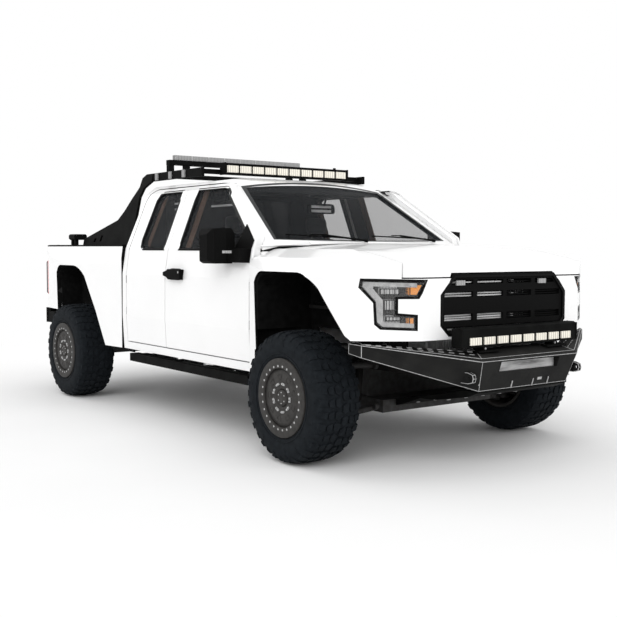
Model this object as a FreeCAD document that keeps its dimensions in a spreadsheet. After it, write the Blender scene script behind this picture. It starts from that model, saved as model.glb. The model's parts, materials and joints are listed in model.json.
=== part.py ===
import FreeCAD
import Part
import math
import os
import re

import Sketcher
from FreeCAD import Rotation, Vector

# Off-road pickup truck with an extended cab and a short load bed.
# Millimetres. X forward, Y to the truck's left, Z up, with the origin on the ground
# below the middle of the truck's box.

# Driving dimensions. Distances "behind" are measured back from the front axle.
SIZES = {
    # whole truck
    "wheelbase": 3405,
    "front_overhang": 1010,
    "rear_overhang": 845,
    "half_track": 957,
    "body_half": 1005,
    "sill_z": 510,
    "shut_gap": 8,
    # wheels
    "tyre_radius": 412,
    "tyre_width": 325,
    "tyre_shoulder": 38,
    "rim_radius": 232,
    "rim_width": 290,
    "rim_wall": 14,
    "ring_radius": 246,
    "hub_radius": 78,
    "bore_radius": 60,
    "running": 0.3,
    # nose
    "nose_length": 815,
    "nose_bottom": 800,
    "fender_half": 1040,
    "fender_bulge": 3400,
    "door_skin": 18,
    "hood_front_z": 1245,
    "hood_back_z": 1360,
    "wing_top": 255,
    "hood_lip_z": 1163,
    "hood_back": 460,
    "skin": 26,
    "arch_top": 1182,
    "arch_back": 448,
    "arch_front": 545,
    "fender_split": 595,
    # cab
    "cab_back": 2425,
    "roof_z": 1882,
    "belt_z": 1322,
    "belt_lean": 33,
    "window_top": 1762,
    "window_lean": 205,
    "roof_edge": 1825,
    "roof_lean": 270,
    "door_wall": 70,
    "pillar_inset": 12,
    "door_front": 530,
    "door_split": 1692,
    "door_rear": 2352,
    "door_bottom": 575,
    "door_top": 1795,
    "glass": 5,
    "screen_foot": 390,
    "screen_head": 1131,
    "screen_radius": 5200,
    "floor_z": 580,
    "floor_thick": 35,
    # bed
    "bed_gap": 20,
    "bed_rail_z": 1340,
    "bed_floor_z": 850,
    "bed_wall": 95,
    "bed_floor_thick": 30,
    "rail_cap": 12,
    "tail_post": 263,
    "tailgate_thick": 58,
    "rear_skirt_z": 760,
    # running gear
    "rail_half": 430,
    "rail_width": 75,
    "rail_height": 135,
    "kingpin_half": 868,
    "sweep_radius": 462,
    "hood_hinge_z": 1316,
    "gate_pin_radius": 6,
    "steps_z": 418,
    "roof_bar_x": 1490,
    "hub_reach": 140,
    "lug_bore": 12,
    "lug_thick": 24,
    "ball_bore": 13,
}

# Sizes that follow from the driving ones.
FOLLOWING = {
    "hood_half": "fender_half - wing_top",
    "front_half": "fender_half - 350",
    "belt_half": "body_half - belt_lean",
    "window_top_half": "body_half - window_lean",
    "roof_edge_half": "body_half - roof_lean",
    "cabin_half": "body_half - door_wall - 55",
    "bed_front": "cab_back + bed_gap",
    "tailgate_half": "body_half - tail_post",
    "screen_foot_z": "hood_back_z + 2",
    "screen_head_z": "roof_z - 80",
    "cap_z": "bed_rail_z + rail_cap",
}

doc = FreeCAD.newDocument("PickupTruck")
sheet = doc.addObject("Spreadsheet::Sheet", "Sizes")
for row, (alias, size) in enumerate(SIZES.items(), 1):
    sheet.set(f"A{row}", alias)
    sheet.set(f"B{row}", str(size))
    sheet.setAlias(f"B{row}", alias)
for row, (alias, text) in enumerate(FOLLOWING.items(), len(SIZES) + 1):
    sheet.set(f"A{row}", alias)
    sheet.set(f"B{row}", f"={text}")
    sheet.setAlias(f"B{row}", alias)
doc.recompute()

FRONT = "(wheelbase + rear_overhang - front_overhang) / 2"
GATE_X = f"({FRONT} - wheelbase - rear_overhang + 110 + 14)"
GATE_Z = "bed_floor_z - 36 + 14"
WORD = re.compile(r"[a-z][a-z_]*")
AXES = {"X": Vector(1, 0, 0), "Y": Vector(0, 1, 0), "Z": Vector(0, 0, 1)}
# turns a sketch's own plane square to the named axis: X shows (y, z), Y shows (x, z), Z shows (x, y)
FACING = {
    "X": Rotation(Vector(1, 1, 1), 120),
    "Y": Rotation(Vector(1, 0, 0), 90),
    "Z": Rotation(),
}
KNOWN = {*SIZES, *FOLLOWING}
nodes = {}


def on_sheet(text):
    """The expression with each size name pointing at its cell."""
    return WORD.sub(lambda m: f"Sizes.{m.group(0)}" if m.group(0) in KNOWN else m.group(0), str(text))


def value(text):
    number = sheet.evalExpression(on_sheet(text))
    return float(getattr(number, "Value", number))


def F(ahead):
    """The x of a point this far ahead of the front axle."""
    return f"({FRONT} + ({ahead}))"


def B(behind):
    """The x of a point this far behind the front axle."""
    return f"({FRONT} - ({behind}))"


def R(ahead):
    """The x of a point this far ahead of the rear axle."""
    return f"({FRONT} - wheelbase + ({ahead}))"


def bind(thing, **texts):
    """Ties properties to the sheet; a name's __ stands for a dot."""
    for name, text in texts.items():
        thing.setExpression(name.replace("__", "."), on_sheet(text))
    return thing


def made(kind, name, **fields):
    thing = doc.addObject(kind, name)
    for field, content in fields.items():
        setattr(thing, field, content)
    return thing


def corner_arc(start, end, radius):
    """Arc bulging to the left of its way from start to end, or to the right where the radius is negative."""
    chord = end - start
    side = math.copysign(1, radius)
    normal = Vector(-chord.y, chord.x, 0).normalize()
    rise = math.sqrt(max(radius * radius - chord.Length ** 2 / 4, 0))
    centre = (start + end) / 2 - normal * rise * side
    middle = centre + normal * abs(radius) * side
    if (middle - start).cross(end - middle).z > 0:
        return Part.Arc(start, middle, end)
    return Part.Arc(end, middle, start)


def outline(name, axis, points):
    """Closed sketch. Each point is two expressions, and a third is the radius of the arc to the next point."""
    sketch = made("Sketcher::SketchObject", name)
    ends = [Vector(value(p[0]), value(p[1]), 0) for p in points]
    after = ends[1:] + ends[:1]
    pieces = [
        corner_arc(a, b, value(p[2])) if len(p) > 2 else Part.LineSegment(a, b)
        for p, a, b in zip(points, ends, after)
    ]
    sketch.addGeometry(pieces, False)
    first = [1 if (g.StartPoint - a).Length < 1e-6 else 2 for g, a in zip(sketch.Geometry, ends)]
    rules = []
    names = []
    count = len(points)
    for i in range(count):
        j = (i + 1) % count
        rules.append(Sketcher.Constraint("Coincident", i, 3 - first[i], j, first[j]))
    for i, p in enumerate(points):
        names.append((len(rules), f"u{i}", p[0]))
        rules.append(Sketcher.Constraint("DistanceX", -1, 1, i, first[i], ends[i].x))
        names.append((len(rules), f"v{i}", p[1]))
        rules.append(Sketcher.Constraint("DistanceY", -1, 1, i, first[i], ends[i].y))
        if len(p) > 2:
            names.append((len(rules), f"r{i}", f"abs({p[2]})"))
            rules.append(Sketcher.Constraint("Radius", i, abs(value(p[2]))))
    sketch.addConstraint(rules)
    for index, label, text in names:
        sketch.renameConstraint(index, label)
        sketch.setExpression(f"Constraints.{label}", on_sheet(text))
    sketch.Placement.Rotation = FACING[axis]
    return sketch


def prism(name, axis, points, low, high):
    """The outline drawn out along the axis, from low to high."""
    sketch = outline(f"{name}_outline", axis, points)
    bind(sketch, **{f"Placement__Base__{axis.lower()}": low})
    body = made("Part::Extrusion", name, Base=sketch, DirMode="Custom", Dir=AXES[axis], Solid=True)
    return bind(body, LengthFwd=f"({high}) - ({low})")


def box(name, x, y, z):
    """Block between pairs of expressions."""
    return bind(
        made("Part::Box", name),
        Placement__Base__x=x[0], Placement__Base__y=y[0], Placement__Base__z=z[0],
        Length=f"({x[1]}) - ({x[0]})", Width=f"({y[1]}) - ({y[0]})", Height=f"({z[1]}) - ({z[0]})",
    )


def rod(name, axis, radius, x, y, z, length):
    """Cylinder from a point, along an axis."""
    thing = made("Part::Cylinder", name)
    thing.Placement.Rotation = Rotation(AXES["Z"], AXES[axis])
    return bind(
        thing, Radius=radius, Height=length,
        Placement__Base__x=x, Placement__Base__y=y, Placement__Base__z=z,
    )


def strut(name, radius, start, end):
    """Round bar between two points."""
    a = Vector(*[value(t) for t in start])
    b = Vector(*[value(t) for t in end])
    thing = made("Part::Cylinder", name)
    thing.Placement.Rotation = Rotation(AXES["Z"], b - a)
    run = " + ".join(f"(({q}) - ({p})) ^ 2" for p, q in zip(start, end))
    return bind(
        thing, Radius=radius, Height=f"sqrt({run})",
        Placement__Base__x=start[0], Placement__Base__y=start[1], Placement__Base__z=start[2],
    )


def fuse(name, *shapes):
    return made("Part::MultiFuse", name, Shapes=list(shapes))


def common(name, *shapes):
    return made("Part::MultiCommon", name, Shapes=list(shapes))


def cut(name, base, *tools):
    """Base with each tool taken away."""
    for number, tool in enumerate(tools):
        base = made("Part::Cut", name if number == len(tools) - 1 else f"{name}_cut{number}", Base=base, Tool=tool)
    return base


def mirror(name, source):
    """The same thing on the truck's other side."""
    return made("Part::Mirroring", name, Source=source, Normal=AXES["Y"])


def pair(name, right):
    return fuse(name, right, mirror(f"{name}_left", right))


def node(name, thing):
    thing.Label = name
    nodes[name] = thing
    return thing


# Nose: the sheet metal ahead of the doors, as one outer form that is shelled and then split into panels.
def nose_form(name, inset):
    """The nose's outer form, taken in by inset."""
    i = f"({inset})"
    side = [(B(f"door_front - shut_gap + 2 * {i}"), f"-body_half + {i}", "-fender_bulge"),
            (F(f"525 - {i} / 2"), f"-fender_half + {i}", "-1500"),
            (F(f"nose_length - 20 - {i}"), f"-front_half + {i} / 2", "-12000")]
    far = [(F(f"nose_length - 20 - {i}"), f"front_half - {i} / 2", "-1500"),
           (F(f"525 - {i} / 2"), f"fender_half - {i}", "-fender_bulge"),
           (B(f"door_front - shut_gap + 2 * {i}"), f"body_half - {i}")]
    plan = prism(f"{name}_plan", "Z", side + far, "400", "hood_back_z + 140")
    profile = prism(f"{name}_profile", "Y", [
        (B(f"door_front + 2 * {i}"), f"sill_z - 4 * {i}"),
        (F("0"), f"sill_z - 4 * {i}"),
        (F("0"), f"nose_bottom - 4 * {i}"),
        (F(f"nose_length - {i}"), f"nose_bottom - 4 * {i}"),
        (F(f"nose_length - {i}"), "hood_front_z - 160", "-260"),
        (F(f"nose_length - 85 - {i}"), f"hood_front_z - {i}", "-4500"),
        (B("hood_back - 100"), f"hood_back_z - {i}"),
        (B(f"door_front + 2 * {i}"), f"hood_back_z - {i}"),
    ], "-1300", "1300")
    wide, shoulder = f"fender_half + 50 - {i}", f"fender_half - 75 - {i}"
    crown = f"hood_half + 15 - {i} / 4"
    low, mid, high = f"hood_back_z - 230 - {i} / 2", f"hood_back_z - 92 - {i}", f"hood_back_z - 38 - {i}"
    face = prism(f"{name}_face", "X", [
        (f"-({wide})", "400"), (wide, "400"), (wide, low), (shoulder, mid), (crown, high, "-8000"),
        (f"-({crown})", high), (f"-({shoulder})", mid), (f"-({wide})", low),
    ], B("door_front + 200"), F("nose_length + 100"))
    return common(name, plan, profile, face)


def arch_hole(name, back, front, top, low, y_low, y_high, at, spread="0"):
    """Wheel opening: upright behind the wheel, sloped ahead of it, with round upper corners."""
    s = f"({spread})"
    return prism(name, "Y", [
        (at(f"-({back}) + 55 - {s}"), low),
        (at(f"-({back}) - {s}"), f"({top}) - 75", "130"),
        (at(f"-({back}) + 118"), f"({top}) + {s}"),
        (at("60"), f"({top}) + {s}", "420"),
        (at(f"300 + {s}"), f"({top}) - 92 + {s} / 2"),
        (at(f"({front}) + {s}"), f"({top}) - 376"),
        (at(f"({front}) + 300 + {s}"), low),
    ], y_low, y_high)


def lamp_outline(name, inset, x_low, x_high):
    """The headlamp seen from ahead: a hook open towards the grille."""
    i = f"({inset})"
    corners = [
        (f"390 - {i}", f"350 - {i}"), (f"62 + {i}", f"357 - {i}"), (f"55 + {i}", "305"), (f"118 + {i}", "218"),
        (f"123 + {i}", f"95 + {i}"), (f"150 + {i}", f"66 + {i}"), (f"328 - {i}", f"58 + {i}"),
        (f"328 - {i}", f"151 - {i}"), (f"232 - {i}", f"160 - {i}"), (f"232 - {i}", f"240 + {i}"),
        (f"334 - {i}", f"240 + {i}"),
    ]
    points = [(f"-fender_half + {y}", f"nose_bottom + {z}") for y, z in corners]
    return prism(name, "X", points, x_low, x_high)


def grille_outline(name, inset, x_low, x_high):
    """Eight-sided grille opening."""
    i = f"({inset})"
    wide = f"fender_half - 485 - {i}"
    half = [(f"fender_half - 550 - {i} / 2", f"nose_bottom + 15 + {i}"), (wide, "nose_bottom + 80"),
            (wide, "nose_bottom + 260"), (f"fender_half - 595 - {i} / 2", f"nose_bottom + 378 - {i}")]
    other = [(f"-({y})", z) for y, z in reversed(half)]
    return prism(name, "X", half + other, x_low, x_high)


def hood_outline(name, spread, low):
    """The hood from above, with its back edge round the foot of the windscreen."""
    s = f"({spread})"
    back = B(f"hood_back + {s}")
    return prism(name, "Z", [
        (back, f"-hood_half - {s}"), (back, "-hood_half + 60", "-2300"), (back, "hood_half - 60"),
        (back, f"hood_half + {s}"),
        (F("900"), f"hood_half + {s}"), (F("900"), f"-hood_half - {s}"),
    ], low, "1500")


def nose():
    outer = nose_form("nose_outer", "0")
    inner = nose_form("nose_inner", "skin")
    shell = cut("nose_shell", outer, inner)
    hood = common("hood_panel", shell, hood_outline("hood_zone", "0", "hood_lip_z"))
    node("hood", cut("hood_notched", hood, grille_outline("hood_notch", "-shut_gap", F("500"), F("900"))))
    wide_hood = hood_outline("hood_room", "shut_gap", "700")
    side_zone = fuse(
        "fender_zone",
        box("fender_back_zone", (B("door_front"), F("fender_split")), ("-1300", "-hood_half + 20"), ("300", "1500")),
        box("fender_top_zone", (F("fender_split - 10"), F("900")), ("-1300", "-hood_half + 20"),
            ("hood_lip_z - shut_gap", "1500")),
    )
    arch = arch_hole("front_arch", "arch_back", "arch_front", "arch_top", "300", "-1300", "-500", F)
    sweep = rod("tyre_sweep", "Z", "sweep_radius", F("0"), "-kingpin_half", "300", "370")
    fender = common("fender_blank", shell, side_zone)
    door_room = door_outline("door_room", "shut_gap", "-1300", "-300")
    fender = cut("fender_trimmed", fender, wide_hood, arch, sweep, door_room)
    lamp_hole = lamp_outline("lamp_hole", "0", F("300"), F("900"))
    hinge_room = box("hood_corner_room", (B("hood_back + 24"), B("hood_back")),
                     ("-hood_half - 8", "-hood_half + 30"), ("hood_hinge_z - 4", "hood_back_z"))
    fender = cut("fender_sheet", fender, lamp_hole, hinge_room)
    node("fender_right", fender)
    node("fender_left", mirror("fender_mirrored", fender))
    front = common("front_blank", shell, box(
        "front_zone", (F("fender_split"), F("900")), ("-1300", "1300"), ("nose_bottom - 50", "hood_lip_z - shut_gap")))
    grille_hole = grille_outline("grille_hole", "0", F("500"), F("900"))
    front = cut("front_sheet", front, lamp_hole, mirror("lamp_hole_left", lamp_hole), grille_hole)
    node("front_panel", front)
    headlamps()


def headlamps():
    """Hook-shaped housings, hollow in front, each with three square lamps and two markers."""
    reach = F("540"), F("900")
    block = common("lamp_body", nose_form("lamp_face", "3"), lamp_outline("lamp_block", "running", *reach))
    bowl = cut("lamp_bowl", lamp_outline("lamp_opening", "15", *reach), nose_form("lamp_floor", "32"))
    housing = cut("lamp_unit", block, nose_form("lamp_back", "60"), bowl)
    node("headlamps", pair("lamp_pair", housing))
    floor = nose_form("lamp_seat", "32 - running")
    inside = lamp_outline("lamp_reach", "15 + running", *reach)
    insides = []
    for kind, depth, places in (
        ("square", "12", ((162, 72, 268, 320), (153, 64, 175, 237), (182, 66, 100, 146))),
        ("mark", "16", ((291, 36, 266, 326), (292, 22, 84, 132))),
    ):
        blocks = [
            box(f"lamp_{kind}{n}", (F("560"), F("900")), (f"-fender_half + {y}", f"-fender_half + {y} + {wide}"),
                (f"nose_bottom + {low}", f"nose_bottom + {high}"))
            for n, (y, wide, low, high) in enumerate(places)
        ]
        faced = nose_form(f"lamp_{kind}_face", depth)
        front = common(f"lamp_{kind}_fronts", faced, fuse(f"lamp_{kind}s", *blocks), inside)
        insides.append(cut(f"lamp_{kind}_set", front, floor))
    node("headlamp_units", pair("lamp_inside_pair", fuse("lamp_insides", *insides)))


def grille():
    """Dark frame with narrow slots, bright slats set back in the slots and the cooler behind."""
    back, front = F("nose_length - 85"), F("nose_length - 14")
    plate = grille_outline("grille_plate", "running", back, front)
    rows = (("44", "67"), ("101", "142"), ("240", "274"), ("318", "344"))
    edge = "fender_half - 529"
    columns = ((f"-({edge})", "-276"), ("-240", "-16"), ("16", "240"), ("276", edge))
    inside = grille_outline("grille_reach", "30", F("500"), F("900"))
    slots = common("grille_holes", inside, fuse("grille_slots", *[
        box(f"grille_slot{n}", (F("500"), F("900")), columns[n % 4], tuple(f"nose_bottom + {z}" for z in rows[n // 4]))
        for n in range(16)]))
    dish = grille_outline("grille_dish", "22", F("nose_length - 24"), F("900"))
    node("grille", cut("grille_whole", plate, dish, slots))
    slats = []
    for low in (50, 105, 118, 131, 245, 260, 325):
        for y in columns:
            slats.append(box(f"slat{len(slats)}", (F("nose_length - 62"), F("nose_length - 40")),
                             (f"{y[0]} + running", f"{y[1]} - running"), (f"nose_bottom + {low}", f"nose_bottom + {low} + 8")))
    reach = grille_outline("slat_reach", "30 + running", F("500"), F("900"))
    node("grille_slats", common("slat_set", fuse("slats", *slats), reach))
    node("radiator", box("radiator_core", (F("560"), F("640")), ("-425", "425"),
                         ("nose_bottom - 130", "nose_bottom + 330")))


# Cab
def screen_slope():
    """Unit vectors up the windscreen and square to it."""
    along = Vector(value("screen_foot - screen_head"), 0, value("screen_head_z - screen_foot_z")).normalize()
    return along, Vector(along.z, 0, -along.x)


def side_face(name, wall, roof_wall):
    """The cab from ahead, leaning in above its waist, taken in by walls and as long as the truck's middle."""
    w, r = f"({wall})", f"({roof_wall})"
    half = [
        (f"body_half - 20 - {w}", "400"), (f"body_half - {w}", "belt_z - 542"),
        (f"body_half - 3 - {w}", "belt_z - 202"), (f"belt_half - {w}", "belt_z"),
        (f"window_top_half - {w}", "window_top"), (f"roof_edge_half - {w}", f"roof_edge - {r} / 2", "-4700"),
    ]
    other = [(f"-({p[0]})", p[1]) for p in reversed(half)]
    return prism(name, "X", half + other, B("cab_back + 100"), F("100"))


def cab_form(name, wall, roof_wall, end_wall, floor, screen_wall):
    """The cab's form from the side and from ahead, with the bowed windscreen face."""
    r, e, s = f"({roof_wall})", f"({end_wall})", f"({screen_wall})"
    profile = prism(f"{name}_profile", "Y", [
        (B(f"door_front - shut_gap + {e}"), floor),
        (B(f"door_front - shut_gap + {e}"), f"hood_back_z - 22 - {r}"),
        (B(f"screen_foot - 15 + {s} * 1.8"), f"hood_back_z + 8 - {r}"),
        (B(f"screen_head + {s} * 1.2"), f"screen_head_z + 2 - {r}", "-2600"),
        (B("door_split - 32"), f"roof_z - {r}", "-5200"),
        (B("cab_back - 120"), f"roof_z - 40 - {r}", "-130"),
        (B(f"cab_back - 40 - {e}"), "roof_z - 130"),
        (B(f"cab_back - {e}"), "belt_z"),
        (B(f"cab_back - {e}"), floor),
    ], "-1300", "1300")
    face = side_face(f"{name}_face", wall, roof_wall)
    return common(name, profile, face, screen_round(f"{name}_screen", screen_wall))


def screen_round(name, inset):
    """Long cylinder whose skin is the bowed windscreen's face, moved in by inset."""
    along, square = screen_slope()
    drum = made("Part::Cylinder", name)
    drum.Placement.Rotation = Rotation(AXES["Z"], along)
    reach = 6000
    low = -along * reach / 2
    return bind(
        drum, Radius=f"screen_radius - ({inset})", Height=str(reach),
        Placement__Base__x=f"{B('screen_foot')} + {low.x} - {square.x} * screen_radius",
        Placement__Base__y="0",
        Placement__Base__z=f"screen_foot_z + {low.z} - {square.z} * screen_radius",
    )


def door_outline(name, spread, y_low, y_high):
    """The front door from the side, its upper front edge running up the pillar."""
    s = f"({spread})"
    return prism(name, "Y", [
        (B(f"door_front - {s}"), f"door_bottom - {s}"),
        (B(f"door_front - {s}"), f"belt_z + 88 + {s} / 2"),
        (B(f"door_front + 482 - {s}"), f"door_top - 54 + {s}", "-150"),
        (B("door_front + 600"), f"door_top + {s}"),
        (B(f"door_split + {s}"), f"door_top + {s}"),
        (B(f"door_split + {s}"), f"door_bottom - {s}"),
    ], y_low, y_high)


def rear_door_outline(name, spread, y_low, y_high):
    s = f"({spread})"
    return prism(name, "Y", [
        (B(f"door_split + shut_gap - {s}"), f"door_bottom - {s}"),
        (B(f"door_split + shut_gap - {s}"), f"door_top + {s}"),
        (B("door_rear - 125"), f"door_top + {s}", "-140"),
        (B(f"door_rear - 10 + {s}"), "door_top - 105"),
        (B(f"door_rear + {s}"), "belt_z"),
        (B(f"door_rear + {s}"), f"door_bottom - {s}"),
    ], y_low, y_high)


def window_outline(name, inset, y_low, y_high):
    i = f"({inset})"
    return prism(name, "Y", [
        (B(f"door_front + 70 + {i}"), f"belt_z + {i}"),
        (B(f"door_front + 60 + {i}"), "belt_z + 40"),
        (B(f"door_front + 520 + {i}"), f"window_top - 70 - {i}", "-120"),
        (B("door_front + 620"), f"window_top - {i}"),
        (B(f"door_split - 162 - {i}"), f"window_top - {i}"),
        (B(f"door_split - 162 - {i}"), f"belt_z + {i}"),
    ], y_low, y_high)


def rear_window_outline(name, inset, y_low, y_high):
    i = f"({inset})"
    return prism(name, "Y", [
        (B(f"door_split + 80 + {i}"), f"belt_z + {i}"),
        (B(f"door_split + 80 + {i}"), f"window_top - {i}"),
        (B("door_rear - 277"), f"window_top - {i}", "-90"),
        (B(f"door_rear - 202 - {i}"), "window_top - 62"),
        (B(f"door_rear - 180 - {i}"), "belt_z + 70", "-90"),
        (B("door_rear - 242"), f"belt_z + {i}"),
    ], y_low, y_high)


def door_set(end, skin, lining, glass, door_shape, window_shape):
    """One right-hand door and its pane."""
    outside = common(f"{end}_outside", skin, door_shape(f"{end}_edge", "0", "-1300", "-300"))
    inside = common(f"{end}_inside", lining, door_shape(f"{end}_inner_edge", "-pillar_inset", "-1300", "-300"))
    window = window_shape(f"{end}_window", "0", "-1300", "-300")
    leaf = cut(f"{end}_door", fuse(f"{end}_leaf", outside, inside), window)
    pane = common(f"{end}_pane", glass, window_shape(f"{end}_pane_edge", "running", "-1300", "-300"))
    for kind, right in (("door", leaf), ("glass", pane)):
        node(f"{kind}_{end}_right", right)
        node(f"{kind}_{end}_left", mirror(f"{kind}_{end}_mirrored", right))


def cab():
    outer = cab_form("cab_outer", "0", "0", "0", "sill_z", "0")
    inner = cab_form("cab_inner", "door_wall", "42", "42", "floor_z + floor_thick", "30")
    skin_back = side_face("door_skin_back", "door_skin", "door_skin")
    wall_back = side_face("door_wall_back", "door_wall", "42")
    skin = cut("door_skin_layer", side_face("door_skin_front", "0", "0"), skin_back)
    lining = cut("door_lining_layer", skin_back, wall_back)
    glass = cut("side_glass_layer", side_face("glass_front", "9", "9"),
                side_face("glass_back", "9 + glass", "9 + glass"))
    door_set("front", skin, lining, glass, door_outline, window_outline)
    door_set("rear", skin, lining, glass, rear_door_outline, rear_window_outline)
    wall_behind = side_face("wall_behind", "door_wall + 3", "45")
    wall = cut("door_wall_layer", side_face("wall_front", "-5", "-5"), wall_behind)
    opening = common("door_openings", wall, fuse(
        "door_opening_outlines", door_outline("front_opening", "shut_gap", "-1300", "-300"),
        rear_door_outline("rear_opening", "shut_gap", "-1300", "-300")))
    screens = []
    for name, r in (("screen_hole", "0"), ("screen_edge", "0.4")):
        low, top = B(f"screen_foot + 158 + {r}"), B(f"screen_head + 19 - {r}")
        foot, head = f"body_half - 235 - {r}", f"body_half - 379 - {r}"
        screens.append(prism(name, "Z", [
            (low, f"-({foot})", "-2300"), (low, foot), (top, head, "10000"), (top, f"-({head})"),
        ], "belt_z + 18", "roof_z + 68"))
    slab = cut("screen_slab", screen_round("screen_front", "8"), screen_round("screen_behind", "8 + glass"))
    node("windscreen", common("windscreen_pane", slab, screens[1]))
    back_hole = box("back_hole", (B("cab_back + 50"), B("cab_back - 300")), ("-body_half + 365", "body_half - 365"),
                    ("belt_z + 30", "window_top - 20"))
    node("rear_glass", prism("back_pane", "Y", [
        (B("cab_back - 12"), "belt_z + 30 + running"), (B("cab_back - 12 - glass"), "belt_z + 30 + running"),
        (B("cab_back - 49 - glass"), "window_top - 20 - running"), (B("cab_back - 49"), "window_top - 20 - running"),
    ], "-body_half + 365 + running", "body_half - 365 - running"))
    cowl = cut("cowl", common("cowl_blank", nose_form("cowl_form", "12"), box(
        "cowl_zone", (B("door_front - shut_gap"), B("330")), ("-hood_half + 20", "hood_half - 20"), ("1215", "1500"))),
        hood_outline("cowl_hood_room", "shut_gap", "700"))
    under = box("floor_underside", (B("cab_back + 50"), B("door_front - 100")), ("-cabin_half", "cabin_half"),
                ("400", "floor_z"))
    swing_y = (("-body_half + 210", "-body_half + 450"), ("body_half - 450", "body_half - 210"))
    swing = [box(f"hood_swing{n}", (B("door_front - 60"), B("screen_foot - 30")), y, ("belt_z + 8", "belt_z + 100"))
             for n, y in enumerate(swing_y)]
    shell = cut("cab_hollow", outer, inner, under, *swing)
    shell = fuse("cab_with_cowl", shell, cowl)
    node("cab_body", cut("cab_open", shell, opening, mirror("door_openings_left", opening), screens[0], back_hole))


def hinge_pins():
    """Pins of the doors, hood and tailgate, each on its joint's axis in the gap beside the piece."""
    pin = "shut_gap / 2 - running"
    right = [rod(f"door_pin{n}", "Z", pin, B(x), "-body_half + shut_gap / 2", z, "60")
             for n, (x, z) in enumerate((
                 (x, z) for x in ("door_front - shut_gap / 2", "door_rear + shut_gap / 2") for z in ("790", "1045")))]
    right.append(rod("hood_pin", "Y", pin, B("hood_back + shut_gap / 2"), "-hood_half + 5", "hood_hinge_z", "45"))
    right.append(rod("gate_pin", "Y", "gate_pin_radius", GATE_X, "-tailgate_half - shut_gap", GATE_Z, "30"))
    node("hinge_pins", pair("hinge_pin_pair", fuse("hinge_pins_right", *right)))


def interior():
    seat = fuse(
        "seat_one",
        box("seat_cushion", (B("1590"), B("1120")), ("-640", "-140"), ("850", "960")),
        box("seat_base", (B("1530"), B("1160")), ("-600", "-180"), ("floor_z + floor_thick", "850")),
        prism("seat_back", "Y", [(B("1470"), "955"), (B("1580"), "955"), (B("1690"), "1430"), (B("1600"), "1430")],
              "-630", "-150"),
        prism("head_rest", "Y", [(B("1598"), "1425"), (B("1672"), "1425"), (B("1688"), "1590"), (B("1622"), "1590")],
              "-500", "-280"),
    )
    node("front_seats", pair("seat_pair", seat))
    bench = fuse(
        "bench",
        box("bench_cushion", (B("2230"), B("1850")), ("-cabin_half + 80", "cabin_half - 80"),
            ("floor_z + floor_thick", "960")),
        prism("bench_back", "Y", [(B("2200"), "960"), (B("2310"), "960"), (B("2330"), "1420"), (B("2250"), "1420")],
              "-cabin_half + 100", "cabin_half - 100"),
    )
    node("rear_seat", bench)
    dash = prism("dash_form", "Y", [
        (B("615"), "floor_z + floor_thick"), (B("615"), "1285"), (B("660"), "1315"), (B("860"), "1290"),
        (B("905"), "1180"), (B("840"), "960"), (B("720"), "880"), (B("690"), "floor_z + floor_thick"),
    ], "-cabin_half", "cabin_half")
    column = strut("column", "32", (B("833"), "385", "1124"), (B("947.7"), "385", "1173.9"))
    node("dashboard", fuse("dash_whole", dash, column))
    ring = made("Part::Torus", "wheel_rim")
    hub = made("Part::Cylinder", "wheel_boss")
    tilt = Rotation(AXES["Z"], Vector(-230, 0, 100))
    for part in (ring, hub):
        part.Placement.Rotation = tilt
    bind(ring, Radius1="182", Radius2="14",
         Placement__Base__x=B("985"), Placement__Base__y="385", Placement__Base__z="1190")
    bind(hub, Radius="70", Height="40",
         Placement__Base__x=B("948"), Placement__Base__y="385", Placement__Base__z="1174")
    spokes = fuse("wheel_spokes", *[
        strut(f"wheel_spoke{n}", "13", (B("970"), "385", "1183"), (B(f"985 {x}"), f"385 + {y}", f"1190 + {z}"))
        for n, (x, y, z) in enumerate((("+ 0", 182, 0), ("+ 0", -182, 0), ("+ 72.7", 0, -167)))
    ])
    node("steering_wheel", fuse("wheel_whole", ring, hub, spokes))


# Load bed
def bed_plan(name, inset):
    """The bed from above, as tall as the rack."""
    i = f"({inset})"
    return prism(f"{name}_plan", "Z", [
        (B(f"bed_front + {i}"), f"-body_half + 2 + {i}"),
        (B(f"bed_front + {i}"), f"body_half - 2 - {i}", "-7500"),
        (R("-rear_overhang + 170"), f"body_half - 15 - {i}", "-110"),
        (R(f"-rear_overhang + 110 + {i}"), f"body_half - 105 - {i}"),
        (R(f"-rear_overhang + 110 + {i}"), f"-body_half + 105 + {i}", "-110"),
        (R("-rear_overhang + 170"), f"-body_half + 15 + {i}", "-7500"),
    ], "300", "cap_z + 150")


def bed_form(name, inset):
    i = f"({inset})"
    half = [(f"body_half + 85 - {i}", "400"), (f"body_half + 85 - {i}", "bed_rail_z - 220"),
            (f"body_half - 3 - {i}", "bed_rail_z - 90"), (f"body_half - 15 - {i}", "bed_rail_z")]
    other = [(f"-({y})", z) for y, z in reversed(half)]
    face = prism(f"{name}_face", "X", half + other, R("-rear_overhang"), B("bed_front - 100"))
    return common(name, bed_plan(name, inset), face)


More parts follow.
